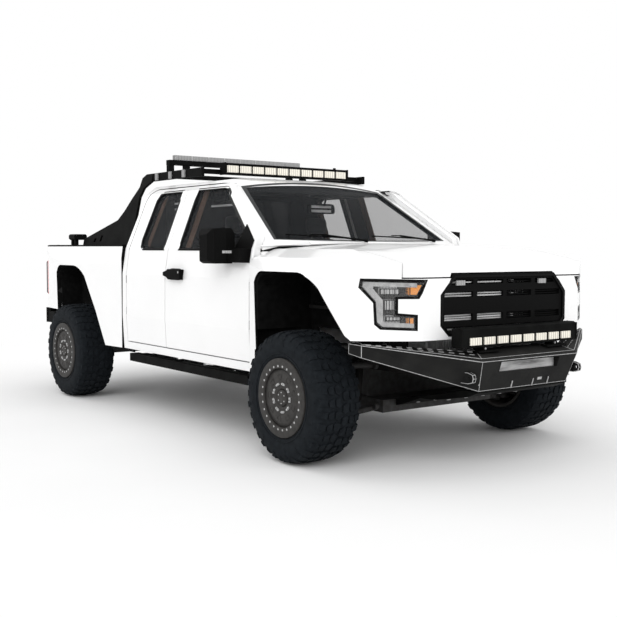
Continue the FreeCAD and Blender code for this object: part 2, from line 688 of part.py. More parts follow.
def bed():
    outer = common("bed_outer", bed_form("bed_solid", "0"), prism("bed_side", "Y", [
        (B("bed_front"), "sill_z"), (B("bed_front"), "bed_rail_z"), (R("-rear_overhang"), "bed_rail_z"),
        (R("-rear_overhang"), "rear_skirt_z"), (R("0"), "rear_skirt_z"), (R("0"), "sill_z"),
    ], "-1300", "1300"))
    load = box("load_space", (R("-rear_overhang - 100"), B("bed_front + bed_wall / 2")),
               ("-body_half + bed_wall + 15", "body_half - bed_wall - 15"), ("bed_floor_z", "bed_rail_z + 100"))
    under = common("under_space", bed_form("bed_under", "skin + 10"),
                   box("under_box", (R("-rear_overhang"), B("bed_front - 10")), ("-1300", "1300"),
                       ("300", "bed_floor_z - bed_floor_thick")))
    well_in = "-body_half + 260"
    well = arch_hole("well_form", "385", "513", "arch_top + 14", "bed_floor_z - bed_floor_thick - 20",
                     "-body_half + 10", well_in, R, "14")
    foot = box("well_foot", (R("-385 - 14"), R("-300")), ("-body_half + 10", well_in),
               ("bed_floor_z - 40", "arch_top - 61"))
    limit = box("well_limit", (R("-700"), R("900")), ("-body_half - 100", well_in), ("bed_floor_z - 40", "arch_top + 68"))
    well = common("well_block", fuse("well_with_foot", well, foot), limit)
    arch = arch_hole("rear_arch", "385", "513", "arch_top - 10", "300", "-1300", f"{well_in} - 20", R)
    gate_room = box("gate_room", (R("-rear_overhang"), R("-rear_overhang + 110 + tailgate_thick + shut_gap")),
                    ("-tailgate_half - shut_gap", "tailgate_half + shut_gap"),
                    ("bed_floor_z - 52", "bed_rail_z + 100"))
    lamp_z = ("bed_rail_z - 452", "bed_rail_z - 134")
    lamp_x = (R("-rear_overhang"), R("-rear_overhang + 200"))
    lamp_room = fuse("tail_lamp_rooms", *[
        box(f"tail_lamp_room{n}", lamp_x, y, lamp_z)
        for n, y in enumerate((("-body_half - 95", "-tailgate_half - 30"), ("tailgate_half + 30", "body_half + 95")))
    ])
    frame_room = box("frame_room", (B("bed_front + 100"), B("bed_front - 50")), ("-cabin_half", "cabin_half"),
                     ("300", "bed_floor_z - bed_floor_thick"))
    body = cut("bed_hollow", outer, load, under, frame_room)
    body = fuse("bed_with_wells", body, well, mirror("well_block_left", well))
    body = cut("bed_open", body, arch, mirror("rear_arch_left", arch), gate_room, lamp_room)
    node("load_bed", body)
    gate = common("gate_blank", bed_form("gate_form", "0"),
                  box("gate_zone", (R("-rear_overhang"), R("-rear_overhang + 110 + tailgate_thick")),
                      ("-tailgate_half", "tailgate_half"), ("bed_floor_z - 36", "bed_rail_z")))
    sockets = [rod(f"gate_socket{n}", "Y", "gate_pin_radius + running", GATE_X, y, GATE_Z, "25")
               for n, y in enumerate(("-tailgate_half", "tailgate_half - 25"))]
    handle = box("gate_handle_dish", (R("-rear_overhang"), R("-rear_overhang + 128")), ("-120", "120"),
                 ("bed_rail_z - 150", "bed_rail_z - 85"))
    node("tailgate", cut("gate_with_sockets", gate, *sockets, handle))
    lamp_zone = box("tail_lamp_zone", lamp_x, ("-body_half - 95", "-tailgate_half - 30"), lamp_z)
    lamp = common("tail_lamp_body", bed_form("tail_lamp_form", "2"), lamp_zone)
    lamp = cut("tail_lamp_unit", lamp, box(
        "tail_lamp_rear", (R("-rear_overhang + 165"), R("-rear_overhang + 300")), ("-body_half + 115", "-300"),
        ("bed_floor_z - 150", "bed_rail_z")))
    node("tail_lamps", pair("tail_lamp_pair", lamp))
    rail_cap = common("cap_strip", bed_plan("cap", "4"), box(
        "cap_zone", (R("-rear_overhang + 100"), B("bed_front + 4")), ("-body_half + 15", "-body_half + bed_wall + 22"),
        ("bed_rail_z", "cap_z")))
    node("bed_rail_caps", pair("cap_pair", rail_cap))


def rear_liner():
    """Dark shell lining the right rear wheel opening."""
    inner = "-body_half + 240"
    opening = ("385", "513", "arch_top - 10")
    shape = cut("rear_liner_band",
                arch_hole("rear_liner_outer", *opening, "300", "-body_half + 34", f"{inner} - running", R, "-running"),
                arch_hole("rear_liner_void", *opening, "200", "-1300", f"{inner} - 10", R, "-9"))
    zone = box("rear_liner_zone", (R("-700"), R("900")), ("-1300", "0"), ("nose_bottom - 60", "arch_top"))
    return common("rear_liner", shape, zone)


def underbody():
    """Ladder frame, raised over both axles."""
    rail = prism("frame_rail", "Y", [
        (F("800"), "560"), (F("800"), "560 + rail_height"), (B("235"), "560 + rail_height"),
        (B("480"), "435 + rail_height"), (B("2480"), "435 + rail_height"), (B("2850"), "640 + rail_height"),
        (B("3900"), "640 + rail_height"), (R("-rear_overhang + 105"), "600 + rail_height"),
        (R("-rear_overhang + 105"), "612"), (B("3900"), "640"), (B("2870"), "640"), (B("2500"), "435"),
        (B("465"), "435"), (B("220"), "560"),
    ], "-rail_half - rail_width", "-rail_half")
    members = [
        box(f"cross_member{n}", (B(f"{x} + 45"), B(f"{x} - 45")), ("-rail_half - 5", "rail_half + 5"), (f"{z}", f"{z} + {deep}"))
        for n, (x, z, deep) in enumerate((
            (-600, 590, 80), (-160, 575, 80), (900, 455, 85), (1620, 557, 18), (2380, 557, 18), (3050, 670, 80),
            (3900, 660, 80)))
    ]
    mounts = [
        box(f"body_mount{n}", (B(f"{x} + 45"), B(f"{x} - 45")), (f"{y} - 30", f"{y} + 30"), (low, high))
        for n, (x, y, low, high) in enumerate((
            (x, y, low, high)
            for x, low, high in (
                (760, "430 + rail_height", "floor_z"), (2250, "430 + rail_height", "floor_z"),
                (2950, "635 + rail_height", "bed_floor_z - bed_floor_thick"),
                (3850, "635 + rail_height", "bed_floor_z - bed_floor_thick"))
            for y in ("-rail_half - 40", "rail_half + 40")))
    ]
    rails = [rail, mirror("frame_rail_left", rail)]
    node("ladder_frame", fuse("frame_whole", *rails, *members, *mounts))
    node("engine_block", box("engine", (B("300"), F("430")), ("-300", "300"), ("655", "1130")))
    node("driveline", fuse(
        "driveline_whole",
        box("gearbox", (B("1250"), B("330")), ("-170", "170"), ("540", "floor_z - 5")),
        box("transfer_case", (B("1500"), B("1240")), ("-210", "170"), ("380", "floor_z - 8")),
        strut("rear_shaft", "42", (B("1495"), "0", "tyre_radius + 18"), (R("200"), "0", "tyre_radius + 18")),
        strut("front_shaft", "30", (B("1245"), "-150", "415"), (B("230"), "-150", "415")),
    ))
    node("fuel_tank", box("tank", (B("2350"), B("1560")), ("rail_half - 245", "rail_half"), ("400", "floor_z - 23")))
    node("exhaust", fuse(
        "exhaust_whole",
        rod("exhaust_pipe", "X", "34", B("3050"), "-300", "430", "2000"),
        box("silencer", (B("2450"), B("1850")), ("-rail_half", "-230"), ("375", "490")),
        strut("pipe_rise", "34", (B("3040"), "-300", "425"), (B("3230"), "-300", "575")),
        strut("tail_pipe", "34", (B("3222"), "-300", "570"), (R("-rear_overhang + 200"), "-330", "560")),
    ))
    return rails


def running_gear(rails):
    """Axles, arms and the knuckles that carry the wheels."""
    z = "tyre_radius"
    springs = []
    for n, (low, high) in enumerate((("-rail_half - 70", "-rail_half - 8"), ("rail_half + 8", "rail_half + 70"))):
        springs.append(prism(f"leaf_spring{n}", "Y", [
            (R("-620"), "560", "-3000"), (R("620"), "500"), (R("620"), "540", "3000"), (R("-620"), "600")], low, high))
        springs.append(box(f"spring_seat{n}", (R("-70"), R("70")), (low, high), ("440", "490")))
        springs.append(box(f"spring_hanger{n}", (R("585"), R("620")), (low, high), ("505", "660")))
        springs.append(box(f"spring_shackle{n}", (R("-620"), R("-590")), (low, high), ("565", "680")))
    rear = fuse(
        "rear_axle_whole", *springs,
        rod("axle_tube", "Y", "52", R("0"), "-half_track + 60", z, "2 * half_track - 120"),
        bind(made("Part::Sphere", "rear_diff"), Radius="150", Placement__Base__x=R("0"), Placement__Base__y="0",
             Placement__Base__z=z),
        rod("diff_nose", "X", "48", R("120"), "0", "tyre_radius + 18", "80"),
        rod("right_hub", "Y", "bore_radius - running", R("0"), "-half_track - hub_reach", z, "hub_reach + 70"),
        rod("left_hub", "Y", "bore_radius - running", R("0"), "half_track - 70", z, "hub_reach + 70"),
        *[strut(f"rear_damper{n}", "30", (R("-60"), y, z), (R("-170"), y, "700"))
          for n, y in enumerate(("-560", "560"))],
    )
    node("rear_axle", cut("rear_axle_fitted", rear, *rails))
    arms = []
    for side, sign in (("right", "-"), ("left", "")):
        for level, inner_z, outer_z, eye_z in (
            ("low", "330", f"{z} - 171", f"{z} - 172"), ("high", "590", f"{z} + 172", f"{z} + 150 + running")):
            arms.append(rod(f"eye_{level}_{side}", "Z", "46", F("0"), f"{sign}kingpin_half", eye_z, "22 - running"))
            for n, x in enumerate(("-190", "190")):
                arms.append(strut(f"arm_{level}_{side}{n}", "20", (F(x), f"{sign}(rail_half + 30)", inner_z),
                                  (F("0"), f"{sign}(kingpin_half - 42)", outer_z)))
        arms.append(strut(f"coil_{side}", "58", (F("0"), f"{sign}640", "285"), (F("0"), f"{sign}585", "700")))
        plate = (f"{sign}680", f"{sign}600") if sign else ("600", "680")
        arms.append(box(f"coil_plate_{side}", (B("112"), F("112")), plate, ("268", "300")))
    front = fuse(
        "front_suspension_whole", *arms,
        box("subframe", (B("230"), F("230")), ("-rail_half - 60", "rail_half + 60"), ("290", "370")),
        box("subframe_upper", (B("60"), F("60")), ("-rail_half - 40", "rail_half + 40"), ("365", "560")),
        box("front_diff", (B("230"), B("50")), ("-230", "-70"), ("365", "470")),
    )
    node("front_suspension", cut("front_suspension_fitted", front, *rails))
    for side, sign in (("right", "-"), ("left", "")):
        node(f"knuckle_{side}", fuse(
            f"knuckle_{side}_whole",
            rod(f"upright_{side}", "Z", "40", F("0"), f"{sign}kingpin_half", f"{z} - 150", "300"),
            rod(f"spindle_{side}", "Y", "bore_radius - running", F("0"),
                "-half_track - hub_reach" if sign else "kingpin_half", z, "half_track + hub_reach - kingpin_half"),
        ))


def wheel_shapes():
    """Tyre and wheel turned about their own axle, with the outboard face towards -Y."""
    half, edge = "rim_width / 2", "(rim_width / 2 - 12)"
    tyre = outline("tyre_section", "X", [
        (f"-{edge} + running", "rim_radius + 2 + running"), (f"-{edge} + running", "ring_radius + 2"),
        ("-tyre_width / 2 + 6", "ring_radius + 8"),
        ("-tyre_width / 2", "tyre_radius - 110"), ("-tyre_width / 2 + 4", "tyre_radius - tyre_shoulder"),
        ("-tyre_width / 2 + 26", "tyre_radius"), ("tyre_width / 2 - 26", "tyre_radius"),
        ("tyre_width / 2 - 4", "tyre_radius - tyre_shoulder"), ("tyre_width / 2", "tyre_radius - 110"),
        ("tyre_width / 2 - 6", "ring_radius + 8"),
        (f"{edge} - running", "ring_radius + 2"), (f"{edge} - running", "rim_radius + 2 + running"),
    ])
    face = "(tyre_width / 2 + 2)"
    rim = outline("rim_section", "X", [
        (f"-{face}", "ring_radius - 60"), (f"-{face}", "ring_radius"), (f"-{edge}", "ring_radius"),
        (f"-{edge}", "rim_radius + 2"), (edge, "rim_radius + 2"), (edge, "ring_radius"), (half, "ring_radius"),
        (half, "rim_radius - rim_wall"), (f"-{face} + 54", "rim_radius - rim_wall - 26"),
        (f"-{face} + 54", "hub_radius + 30"), (f"-{face} + 72", "bore_radius"), (f"-{face} + 24", "bore_radius"),
        (f"-{face} + 24", "hub_radius + 14"),
        (f"-{face} + 32", "hub_radius + 24"), (f"-{face} + 22", "ring_radius - 68"),
    ])
    turned = []
    for name, sketch in (("tyre_ring", tyre), ("rim_ring", rim)):
        turned.append(made("Part::Revolution", name, Source=sketch, Axis=AXES["Y"], Angle=360, Solid=True))
    return turned


def wheels():
    tyre, rim = wheel_shapes()
    doc.recompute()
    for end, at in (("front", F("0")), ("rear", R("0"))):
        for side, y, turn in (("right", "-half_track", 0), ("left", "half_track", 180)):
            for kind, source in (("tyre", tyre), ("rim", rim)):
                copy = made("Part::Feature", f"{kind}_{end}_{side}", Shape=source.Shape)
                copy.Placement.Rotation = Rotation(AXES["Z"], turn)
                bind(copy, Placement__Base__x=at, Placement__Base__y=y, Placement__Base__z="tyre_radius")
                node(f"{kind}_{end}_{side}", copy)


def tapered(name, first, last):
    """Straight-sided solid between two rings of corners."""
    a = [Vector(*[value(t) for t in corner]) for corner in first]
    b = [Vector(*[value(t) for t in corner]) for corner in last]
    count = len(a)
    triangles = []
    for i in range(1, count - 1):
        triangles.append((a[0], a[i], a[i + 1]))
        triangles.append((b[0], b[i + 1], b[i]))
    for i in range(count):
        j = (i + 1) % count
        triangles.append((a[i], b[i], b[j]))
        triangles.append((a[i], b[j], a[j]))
    solid = Part.Solid(Part.Shell([Part.Face(Part.makePolygon([*t, t[0]])) for t in triangles]))
    if solid.Volume < 0:
        solid.reverse()
    return made("Part::Feature", name, Shape=solid.removeSplitter())


def bumpers():
    """Front bumper of folded plate with swept wings, its guard plate and lugs, and the rear bumper."""
    nose_x = "front_overhang"
    centre_end = [
        (F("830"), "-360", "500"), (F("front_overhang - 60"), "-387", "504"), (F(nose_x), "-420", "682"),
        (F(f"{nose_x} - 17"), "-412", "700"), (F("895"), "-360", "735"), (F("830"), "-360", "735"),
    ]
    other_end = [(x, f"-({y})", z) for x, y, z in centre_end]
    centre = tapered("bumper_centre", centre_end, other_end)
    wing = tapered("bumper_wing", [
        (F("872"), "-350", "504"), (F("front_overhang - 60"), "-387", "504"), (F(nose_x), "-420", "682"),
        (F(f"{nose_x} - 17"), "-412", "700"), (F("895"), "-350", "722"),
    ], [
        (F("552"), "-body_half + 60", "706"), (F("610"), "-body_half + 20", "706"),
        (F("610"), "-body_half + 20", "776"), (F("602"), "-body_half + 26", "783"), (F("552"), "-body_half + 60", "787"),
    ])
    ends = tapered("bumper_end", [
        (F("560"), "-body_half + 55", "707"), (F("612"), "-body_half + 20", "706"),
        (F("612"), "-body_half + 20", "776"), (F("560"), "-body_half + 55", "786"),
    ], [
        (F("505"), "-body_half + 40", "722"), (F("505"), "-body_half + 12", "722"),
        (F("505"), "-body_half + 12", "780"), (F("505"), "-body_half + 40", "786"),
    ])
    beam = box("bumper_beam", (F("800 + running"), F("880")), ("-rail_half - rail_width", "rail_half + rail_width"),
               ("555", "700"))
    recess = box("bumper_recess", (F("front_overhang - 52"), F("front_overhang + 40")), ("-258", "258"), ("610", "672"))
    rail_room = box("bumper_rail_room", (F("700"), F("800 + running")), ("-rail_half - rail_width - 8", "-rail_half + 8"),
                    ("540", "735"))
    lug_y = "470"
    lug = prism("shackle_lug", "Y", [
        (F("890"), "556"), (F("955"), "556"), (F("front_overhang - 20"), "566"), (F("front_overhang - 13"), "588"),
        (F("front_overhang - 20"), "610"), (F("955"), "620"), (F("890"), "620"),
    ], f"-{lug_y} - lug_thick / 2", f"-{lug_y} + lug_thick / 2")
    lug_hole = rod("shackle_bore", "Y", "lug_bore", F("front_overhang - 42"), f"-{lug_y} - 40", "588", "75")
    side = cut("bumper_side", fuse("bumper_side_blank", wing, ends, lug), lug_hole, rail_room)
    blank = fuse("bumper_blank", centre, beam, side, mirror("bumper_side_left", side))
    node("front_bumper", cut("bumper_whole", blank, recess))
    node("skid_plate", prism("skid_form", "Y", [
        (F("945"), "500 - running"), (F("835"), "500 - running"), (F("580"), "440"), (F("240"), "372"),
        (F("240"), "330"), (F("310"), "350"),
        (F("460"), "402"), (F("600"), "410"), (F("860"), "459"), (F("940"), "490"),
    ], "-390", "390"))
    rear = prism("rear_bumper_form", "Z", [
        (R("-rear_overhang + 105"), "-body_half + 65"), (R("-rear_overhang + 40"), "-body_half + 45"),
        (R("-rear_overhang"), "-body_half + 125"), (R("-rear_overhang"), "body_half - 125"),
        (R("-rear_overhang + 40"), "body_half - 45"), (R("-rear_overhang + 105"), "body_half - 65"),
    ], "610", "rear_skirt_z - shut_gap")
    tail_y = (("-body_half + 48", "-body_half + 100"), ("body_half - 100", "body_half - 48"))
    tails = [box(f"rear_bumper_tail{n}", (R("-rear_overhang + 100"), R("-rear_overhang + 250")), y,
                 ("618", "rear_skirt_z - 42")) for n, y in enumerate(tail_y)]
    step = box("ball_step", (R("-rear_overhang - 5"), R("-rear_overhang + 200")), ("-170", "170"),
               ("642", "rear_skirt_z"))
    ball = rod("ball_hole", "Z", "ball_bore", R("-rear_overhang + 48"), "0", "600", "60")
    node("rear_bumper", cut("rear_bumper_whole", fuse("rear_bumper_blank", rear, *tails), step, ball))


def light_bars():
    """Lamp bars on the bumper and at the front of the roof, and the lens strip on the rack's hoop."""
    case = prism("bumper_bar_case", "Y", [
        (F("862"), "757"), (F("932"), "757"), (F("932"), "862"), (F("918"), "872"), (F("862"), "872"),
    ], "-515", "505")
    feet = [box(f"bumper_bar_foot{n}", (F("866"), F("892")), (f"{y} - 20", f"{y} + 20"), ("735 + running", "758"))
            for n, y in enumerate((-330, 330))]
    roof = box("roof_bar", (B("roof_bar_x + 70"), B("roof_bar_x")), ("-590", "590"), ("roof_z + 8", "roof_z + 94"))
    node("light_bars", fuse("light_bar_set", case, *feet, roof))
    lenses = []
    for n in range(8):
        start = f"-446 + {n} * 114"
        lenses.append(box(f"bumper_lens{n}", (F("932"), F("941")), (start, f"{start} + 90"), ("771", "815")))
    for n in range(10):
        start = f"-577 + {n} * 116.5"
        lenses.append(box(f"roof_lens{n}", (B("roof_bar_x"), B("roof_bar_x - 9")), (start, f"{start} + 99"),
                          ("roof_z + 21", "roof_z + 74")))
    lenses.append(box("hoop_lens", (B("2250"), B("2208")), ("-630", "630"), ("roof_z + 161", "roof_z + 203")))
    node("light_bar_lenses", fuse("lens_set", *lenses))


def chase_rack():
    """Leaning side plates on the bed rails, rails over the roof and the hoop that carries a lamp bar."""
    base, rail_low, rail_top = "cap_z", "roof_z - 14", "roof_z + 50"
    lean = prism("rack_lean", "X", [
        ("-body_half + 93", base), ("-body_half + 117", base),
        ("-window_top_half + 32", rail_top), ("-window_top_half + 8", rail_top),
    ], B("cab_back + 1100"), B("cab_back - 140"))
    plate = prism("rack_plate", "Y", [
        (B("cab_back + 1000"), base), (B("cab_back + 1000"), f"{base} + 56"), (B("cab_back + 365"), f"{base} + 213"),
        (B("cab_back + 265"), f"{base} + 288"), (B("cab_back + 175"), f"{base} + 376"), (B("cab_back + 59"), "roof_z - 52"),
        (B("cab_back + 35"), "roof_z + 23"), (B("cab_back - 30"), rail_top), (B("cab_back - 140"), rail_top),
        (B("cab_back - 140"), rail_low), (B("cab_back - 20"), "roof_z - 66"), (B("cab_back + 30"), "window_top - 20"),
        (B("cab_back + 30"), base),
    ], "-body_half", "-window_top_half + 100")
    slots = []
    for x, z, tall in (("cab_back + 750", f"{base} + 26", 34), ("cab_back + 625", f"{base} + 30", 52)):
        slots.append(prism(f"rack_slot{len(slots)}", "Y", [
            (B(f"{x} + 34"), z), (B(x), z), (B(f"{x} - 20"), f"{z} + {tall}"), (B(f"{x} + 14"), f"{z} + {tall}"),
        ], "-body_half", "-window_top_half + 100"))
    side = cut("rack_side", common("rack_plate_leaning", lean, plate), *slots)
    rail = box("rack_rail", (B("cab_back - 120"), B("roof_bar_x + 10")), ("-window_top_half + 8", "-window_top_half + 32"),
               (rail_low, rail_top))
    cross = [box(f"rack_cross{n}", (B(f"{x} + 60"), B(x)), ("-window_top_half + 20", "window_top_half - 20"),
                 ("roof_z + 12", "roof_z + 46")) for n, x in enumerate(("2190", "roof_bar_x + 70 + running"))]
    posts = [box(f"rack_post{n}", (B("2245"), B("2195")), (f"{y} - 23", f"{y} + 23"), ("roof_z + 44", "roof_z + 125"))
             for n, y in enumerate((-667, -519, 519, 667))]
    beam = box("rack_beam", (B("2250"), B("2190")), ("-690", "690"), ("roof_z + 121", "roof_z + 161"))
    pod = fuse("rack_pod", prism("pod_body", "X", [
        ("-body_half + 40", "1412"), ("-body_half + 52", "1400"), ("-body_half + 150", "1400"), ("-body_half + 162", "1412"),
        ("-body_half + 162", "1440"), ("-body_half + 150", "1452"), ("-body_half + 52", "1452"),
        ("-body_half + 40", "1440"),
    ], B("3620"), B("3490")), *[
        box(f"pod_foot{n}", (B(f"{x} + 14"), B(f"{x} - 14")), ("-body_half + 56", "-body_half + 88"),
            (f"{base} + running", "1401"))
        for n, x in enumerate((3592, 3520))])
    half = fuse("rack_half", side, rail)
    node("chase_rack", fuse("rack_whole", half, mirror("rack_half_left", half), *cross, *posts, beam))
    lamps = fuse("rack_lamp_set", pod, *[
        box(f"rack_lamp{n}", (B(f"{x} + 22"), B(f"{x} - 22")), ("-window_top_half - 2", "-window_top_half + 8 - running"),
            ("roof_z - 10", "roof_z + 46")) for n, x in enumerate((2210, 1985, 1770))])
    node("rack_lamps", pair("rack_lamp_pair", lamps))


def side_steps():
    step = fuse(
        "step_bar",
        box("step_tube", (B("2290"), B("540")), ("-body_half - 5", "-body_half + 75"), ("steps_z", "steps_z + 62")),
        *[box(f"step_arm{n}", (B(f"{x} + 30"), B(f"{x} - 30")), ("-body_half + 65", "-rail_half - rail_width"),
              ("steps_z + 20", "steps_z + 60"))
          for n, x in enumerate((700, 1180, 1660, 2140))],
    )
    node("side_steps", pair("step_pair", step))


def mirrors():
    """Mirror heads on arms from the front doors' upper corners, and the door handles."""
    across = prism("mirror_across", "X", [
        ("-body_half - 168", "belt_z - 82"), ("-body_half - 178", "belt_z - 52"), ("-body_half - 178", "belt_z + 90"),
        ("-body_half - 150", "belt_z + 136"), ("-body_half - 20", "belt_z + 142"), ("-body_half + 12", "belt_z + 112"),
        ("-body_half + 14", "belt_z - 70"), ("-body_half - 10", "belt_z - 98"), ("-body_half - 140", "belt_z - 98"),
    ], B("890"), B("700"))
    above = prism("mirror_above", "Z", [
        (B("885"), "-body_half + 14"), (B("885"), "-body_half - 165"), (B("865"), "-body_half - 178"),
        (B("775"), "-body_half - 172"), (B("728"), "-body_half - 145"), (B("712"), "-body_half - 60"),
        (B("722"), "-body_half + 14"),
    ], "belt_z - 150", "belt_z + 200")
    head = common("mirror_head", across, above)
    sail = common("mirror_sail", side_face("sail_skin", "-7", "-7"), prism("sail_edge", "Y", [
        (B("door_front + 16"), "belt_z - 92"), (B("door_front + 12"), "belt_z + 58"),
        (B("door_front + 165"), "belt_z + 168"), (B("door_front + 215"), "belt_z + 10"),
        (B("door_front + 215"), "belt_z - 92"),
    ], "-1300", "-300"))
    arm = box("mirror_arm", (B("door_front + 222"), B("door_front + 40")), ("-body_half - 45", "-body_half + 60"),
              ("belt_z - 86", "belt_z + 2"))
    seat = side_face("mirror_seat", "-running", "-running")
    whole = cut("mirror_fitted", fuse("mirror_whole", head, sail, arm), seat)
    node("mirror_right", whole)
    node("mirror_left", mirror("mirror_whole_left", whole))
    grip = prism("handle_form", "Y", [
        (B("door_split - 279"), "1094"), (B("door_split - 102"), "1094"), (B("door_split - 74"), "1110"),
        (B("door_split - 18"), "1122"), (B("door_split - 18"), "1147"), (B("door_split - 74"), "1160"),
        (B("door_split - 92"), "1171"), (B("door_split - 279"), "1171"),
    ], "-body_half - 32", "-body_half + 40")
    handle = cut("handle_fitted", grip, side_face("handle_seat", "-running", "-running"))
    node("door_handle_right", handle)
    node("door_handle_left", mirror("handle_fitted_left", handle))


def arch_liners():
    """Dark liners inside the front wings and the bed's wheel openings."""
    void = arch_hole("liner_void", "arch_back - 20", "arch_front - 20", "arch_top - 12", "200", "-1300", "-575", F)
    shape = common("liner_blank", nose_form("liner_form", "skin"),
                   box("liner_block", (B("500"), F("538")), ("-fender_half - 60", "-560"), ("560", "arch_top + 13")))
    clear = fuse(
        "liner_clear",
        box("liner_axle_room", (B("600"), F("700")), ("-600", "-500"), ("500", "730")),
        box("liner_bumper_room", (F("480"), F("700")), ("-1300", "-body_half + 66"), ("500", "796")),
    )
    sweep = rod("liner_sweep", "Z", "sweep_radius", F("0"), "-kingpin_half", "300", "500")
    front = cut("liner_shell", shape, void, sweep, clear)
    node("arch_liners", fuse("liner_set", pair("liner_pair", front), pair("rear_liner_pair", rear_liner())))


nose()
grille()
cab()
interior()
bed()
hinge_pins()
running_gear(underbody())
wheels()
bumpers()
light_bars()
chase_rack()
side_steps()
mirrors()
arch_liners()
doc.recompute()

broken = [o.Name for o in doc.Objects if {"Invalid", "Error"} & set(o.State)]
if broken:
    raise RuntimeError(f"failed objects: {broken}")
os.makedirs("parts", exist_ok=True)
for name, thing in nodes.items():
    if thing.Shape.isNull() or not thing.Shape.isValid() or not thing.Shape.Solids:
        raise RuntimeError(f"{name} has no valid solid")
    thing.Shape.exportStep(f"parts/{name}.step")
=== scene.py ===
import json
from math import copysign, cos, exp, pi, radians, sin, sqrt

import bmesh
import bpy
from mathutils import Matrix, Quaternion, Vector


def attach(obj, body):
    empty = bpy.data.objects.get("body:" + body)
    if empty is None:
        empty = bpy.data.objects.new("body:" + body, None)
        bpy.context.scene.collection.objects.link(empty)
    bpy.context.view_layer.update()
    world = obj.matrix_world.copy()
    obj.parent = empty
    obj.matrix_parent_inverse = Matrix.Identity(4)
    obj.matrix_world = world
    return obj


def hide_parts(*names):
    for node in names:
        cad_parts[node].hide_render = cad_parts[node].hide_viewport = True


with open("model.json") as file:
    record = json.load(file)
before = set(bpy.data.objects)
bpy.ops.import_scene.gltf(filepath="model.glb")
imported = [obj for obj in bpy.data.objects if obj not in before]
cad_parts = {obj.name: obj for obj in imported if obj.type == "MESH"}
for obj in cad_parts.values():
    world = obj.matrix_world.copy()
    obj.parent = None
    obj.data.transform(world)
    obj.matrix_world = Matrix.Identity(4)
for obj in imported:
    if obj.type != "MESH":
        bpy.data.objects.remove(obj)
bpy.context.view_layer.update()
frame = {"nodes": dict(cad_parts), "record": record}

NODES = frame["nodes"]
NODE_SLOT = {s["node"]: s["material_slot"] for s in frame["record"]["subparts"]}

# Fixed places of the CAD model, in metres. Pieces are drawn with x from the front axle, which is at FRONT.
FRONT = 1.62
REAR = -3.405
TRACK = 0.957
AXLE_Z = 0.412
SIDES = {"right": -1, "left": 1}
WAYS = (-1, 1)


# Materials
def grey(level, tint=(1, 1, 1)):
    return tuple(level * t for t in tint) + (1,)


class Shade:
    """A Principled material that is built up node by node, in the object's own coordinates."""

    def __init__(self, name, color, rough, metal=0.0, coat=0.0, specular=0.5, alpha=1.0):
        self.mat = bpy.data.materials.new(name)
        self.mat.use_nodes = True
        self.nodes = self.mat.node_tree.nodes
        self.links = self.mat.node_tree.links
        self.bsdf = self.nodes["Principled BSDF"]
        values = {"Base Color": color, "Roughness": rough, "Metallic": metal, "Coat Weight": coat,
                  "Coat Roughness": 0.05, "Specular IOR Level": specular, "Alpha": alpha}
        for socket, value in values.items():
            self.bsdf.inputs[socket].default_value = value
        if alpha < 1:
            self.mat.surface_render_method = "BLENDED"
        self.coords = self.nodes.new("ShaderNodeTexCoord").outputs["Object"]
        self.height = None

    def node(self, kind, source=None, inputs=(), **fields):
        """A node with its fields and input values set, and its first input fed by the source."""
        node = self.nodes.new(kind)
        for key, value in fields.items():
            setattr(node, key, value)
        for key, value in dict(inputs).items():
            node.inputs[key].default_value = value
        if source:
            self.links.new(source, node.inputs[0])
        return node

    def noise(self, scale, detail=3.0, stretch=(1, 1, 1)):
        place = self.node("ShaderNodeMapping", self.coords, {"Scale": stretch})
        texture = self.node("ShaderNodeTexNoise", place.outputs[0], {"Scale": scale, "Detail": detail})
        return texture.outputs["Fac"]

    def cells(self, scale):
        return self.node("ShaderNodeTexVoronoi", self.coords, {"Scale": scale}).outputs["Distance"]

    def wave(self, scale, direction="X", distort=0.0):
        inputs = {"Scale": scale, "Distortion": distort}
        return self.node("ShaderNodeTexWave", self.coords, inputs, bands_direction=direction).outputs["Fac"]

    def vary(self, source, low, high, start=0.35, end=0.65):
        """Base colour between two tones."""
        ramp = self.node("ShaderNodeValToRGB", source)
        for stop, at, color in zip(ramp.color_ramp.elements, (start, end), (low, high)):
            stop.position = at
            stop.color = color
        self.links.new(ramp.outputs["Color"], self.bsdf.inputs["Base Color"])
        return self

    def rough(self, source, low, high):
        span = self.node("ShaderNodeMapRange", source, {"To Min": low, "To Max": high})
        self.links.new(span.outputs["Result"], self.bsdf.inputs["Roughness"])
        return self

    def bump(self, source, strength, depth):
        bump = self.node("ShaderNodeBump", None, {"Strength": strength, "Distance": depth})
        self.links.new(source, bump.inputs["Height"])
        self.links.new(bump.outputs["Normal"], self.bsdf.inputs["Normal"])
        return self


M = {}


def material(make):
    """Keeps the material that the function makes under the function's name."""
    M[make.__name__] = make().mat
    return make


@material
def paint():
    s = Shade("white paint", grey(0.84), 0.34, coat=0.6)
    s.vary(s.noise(2.2), grey(0.83), grey(0.85)).rough(s.noise(40), 0.3, 0.38)
    return s.bump(s.noise(420, 1), 0.04, 0.0004)


@material
def powder():
    s = Shade("black powder coat", grey(0.004), 0.55, specular=0.03)
    s.vary(s.noise(9), grey(0.003), grey(0.006, (0.95, 1, 0.95))).rough(s.noise(60), 0.5, 0.66)
    return s.bump(s.noise(1500, 2), 0.2, 0.0006)


@material
def bumper():
    s = Shade("textured bumper coat", grey(0.012), 0.6, specular=0.08)
    s.vary(s.noise(7), grey(0.009), grey(0.015, (1, 1, 0.96))).rough(s.noise(60), 0.5, 0.7)
    return s.bump(s.noise(1100, 2), 0.3, 0.0008)


@material
def edge():
    # Pale steel: the stitch welds and bolt heads have it as their own colour; on the beads along the
    # bumper's folded edges it is a painted highlight.
    s = Shade("steel of welds and painted edge highlights", grey(0.36), 0.5)
    return s.vary(s.noise(70), grey(0.26), grey(0.46)).rough(s.noise(200), 0.4, 0.6)


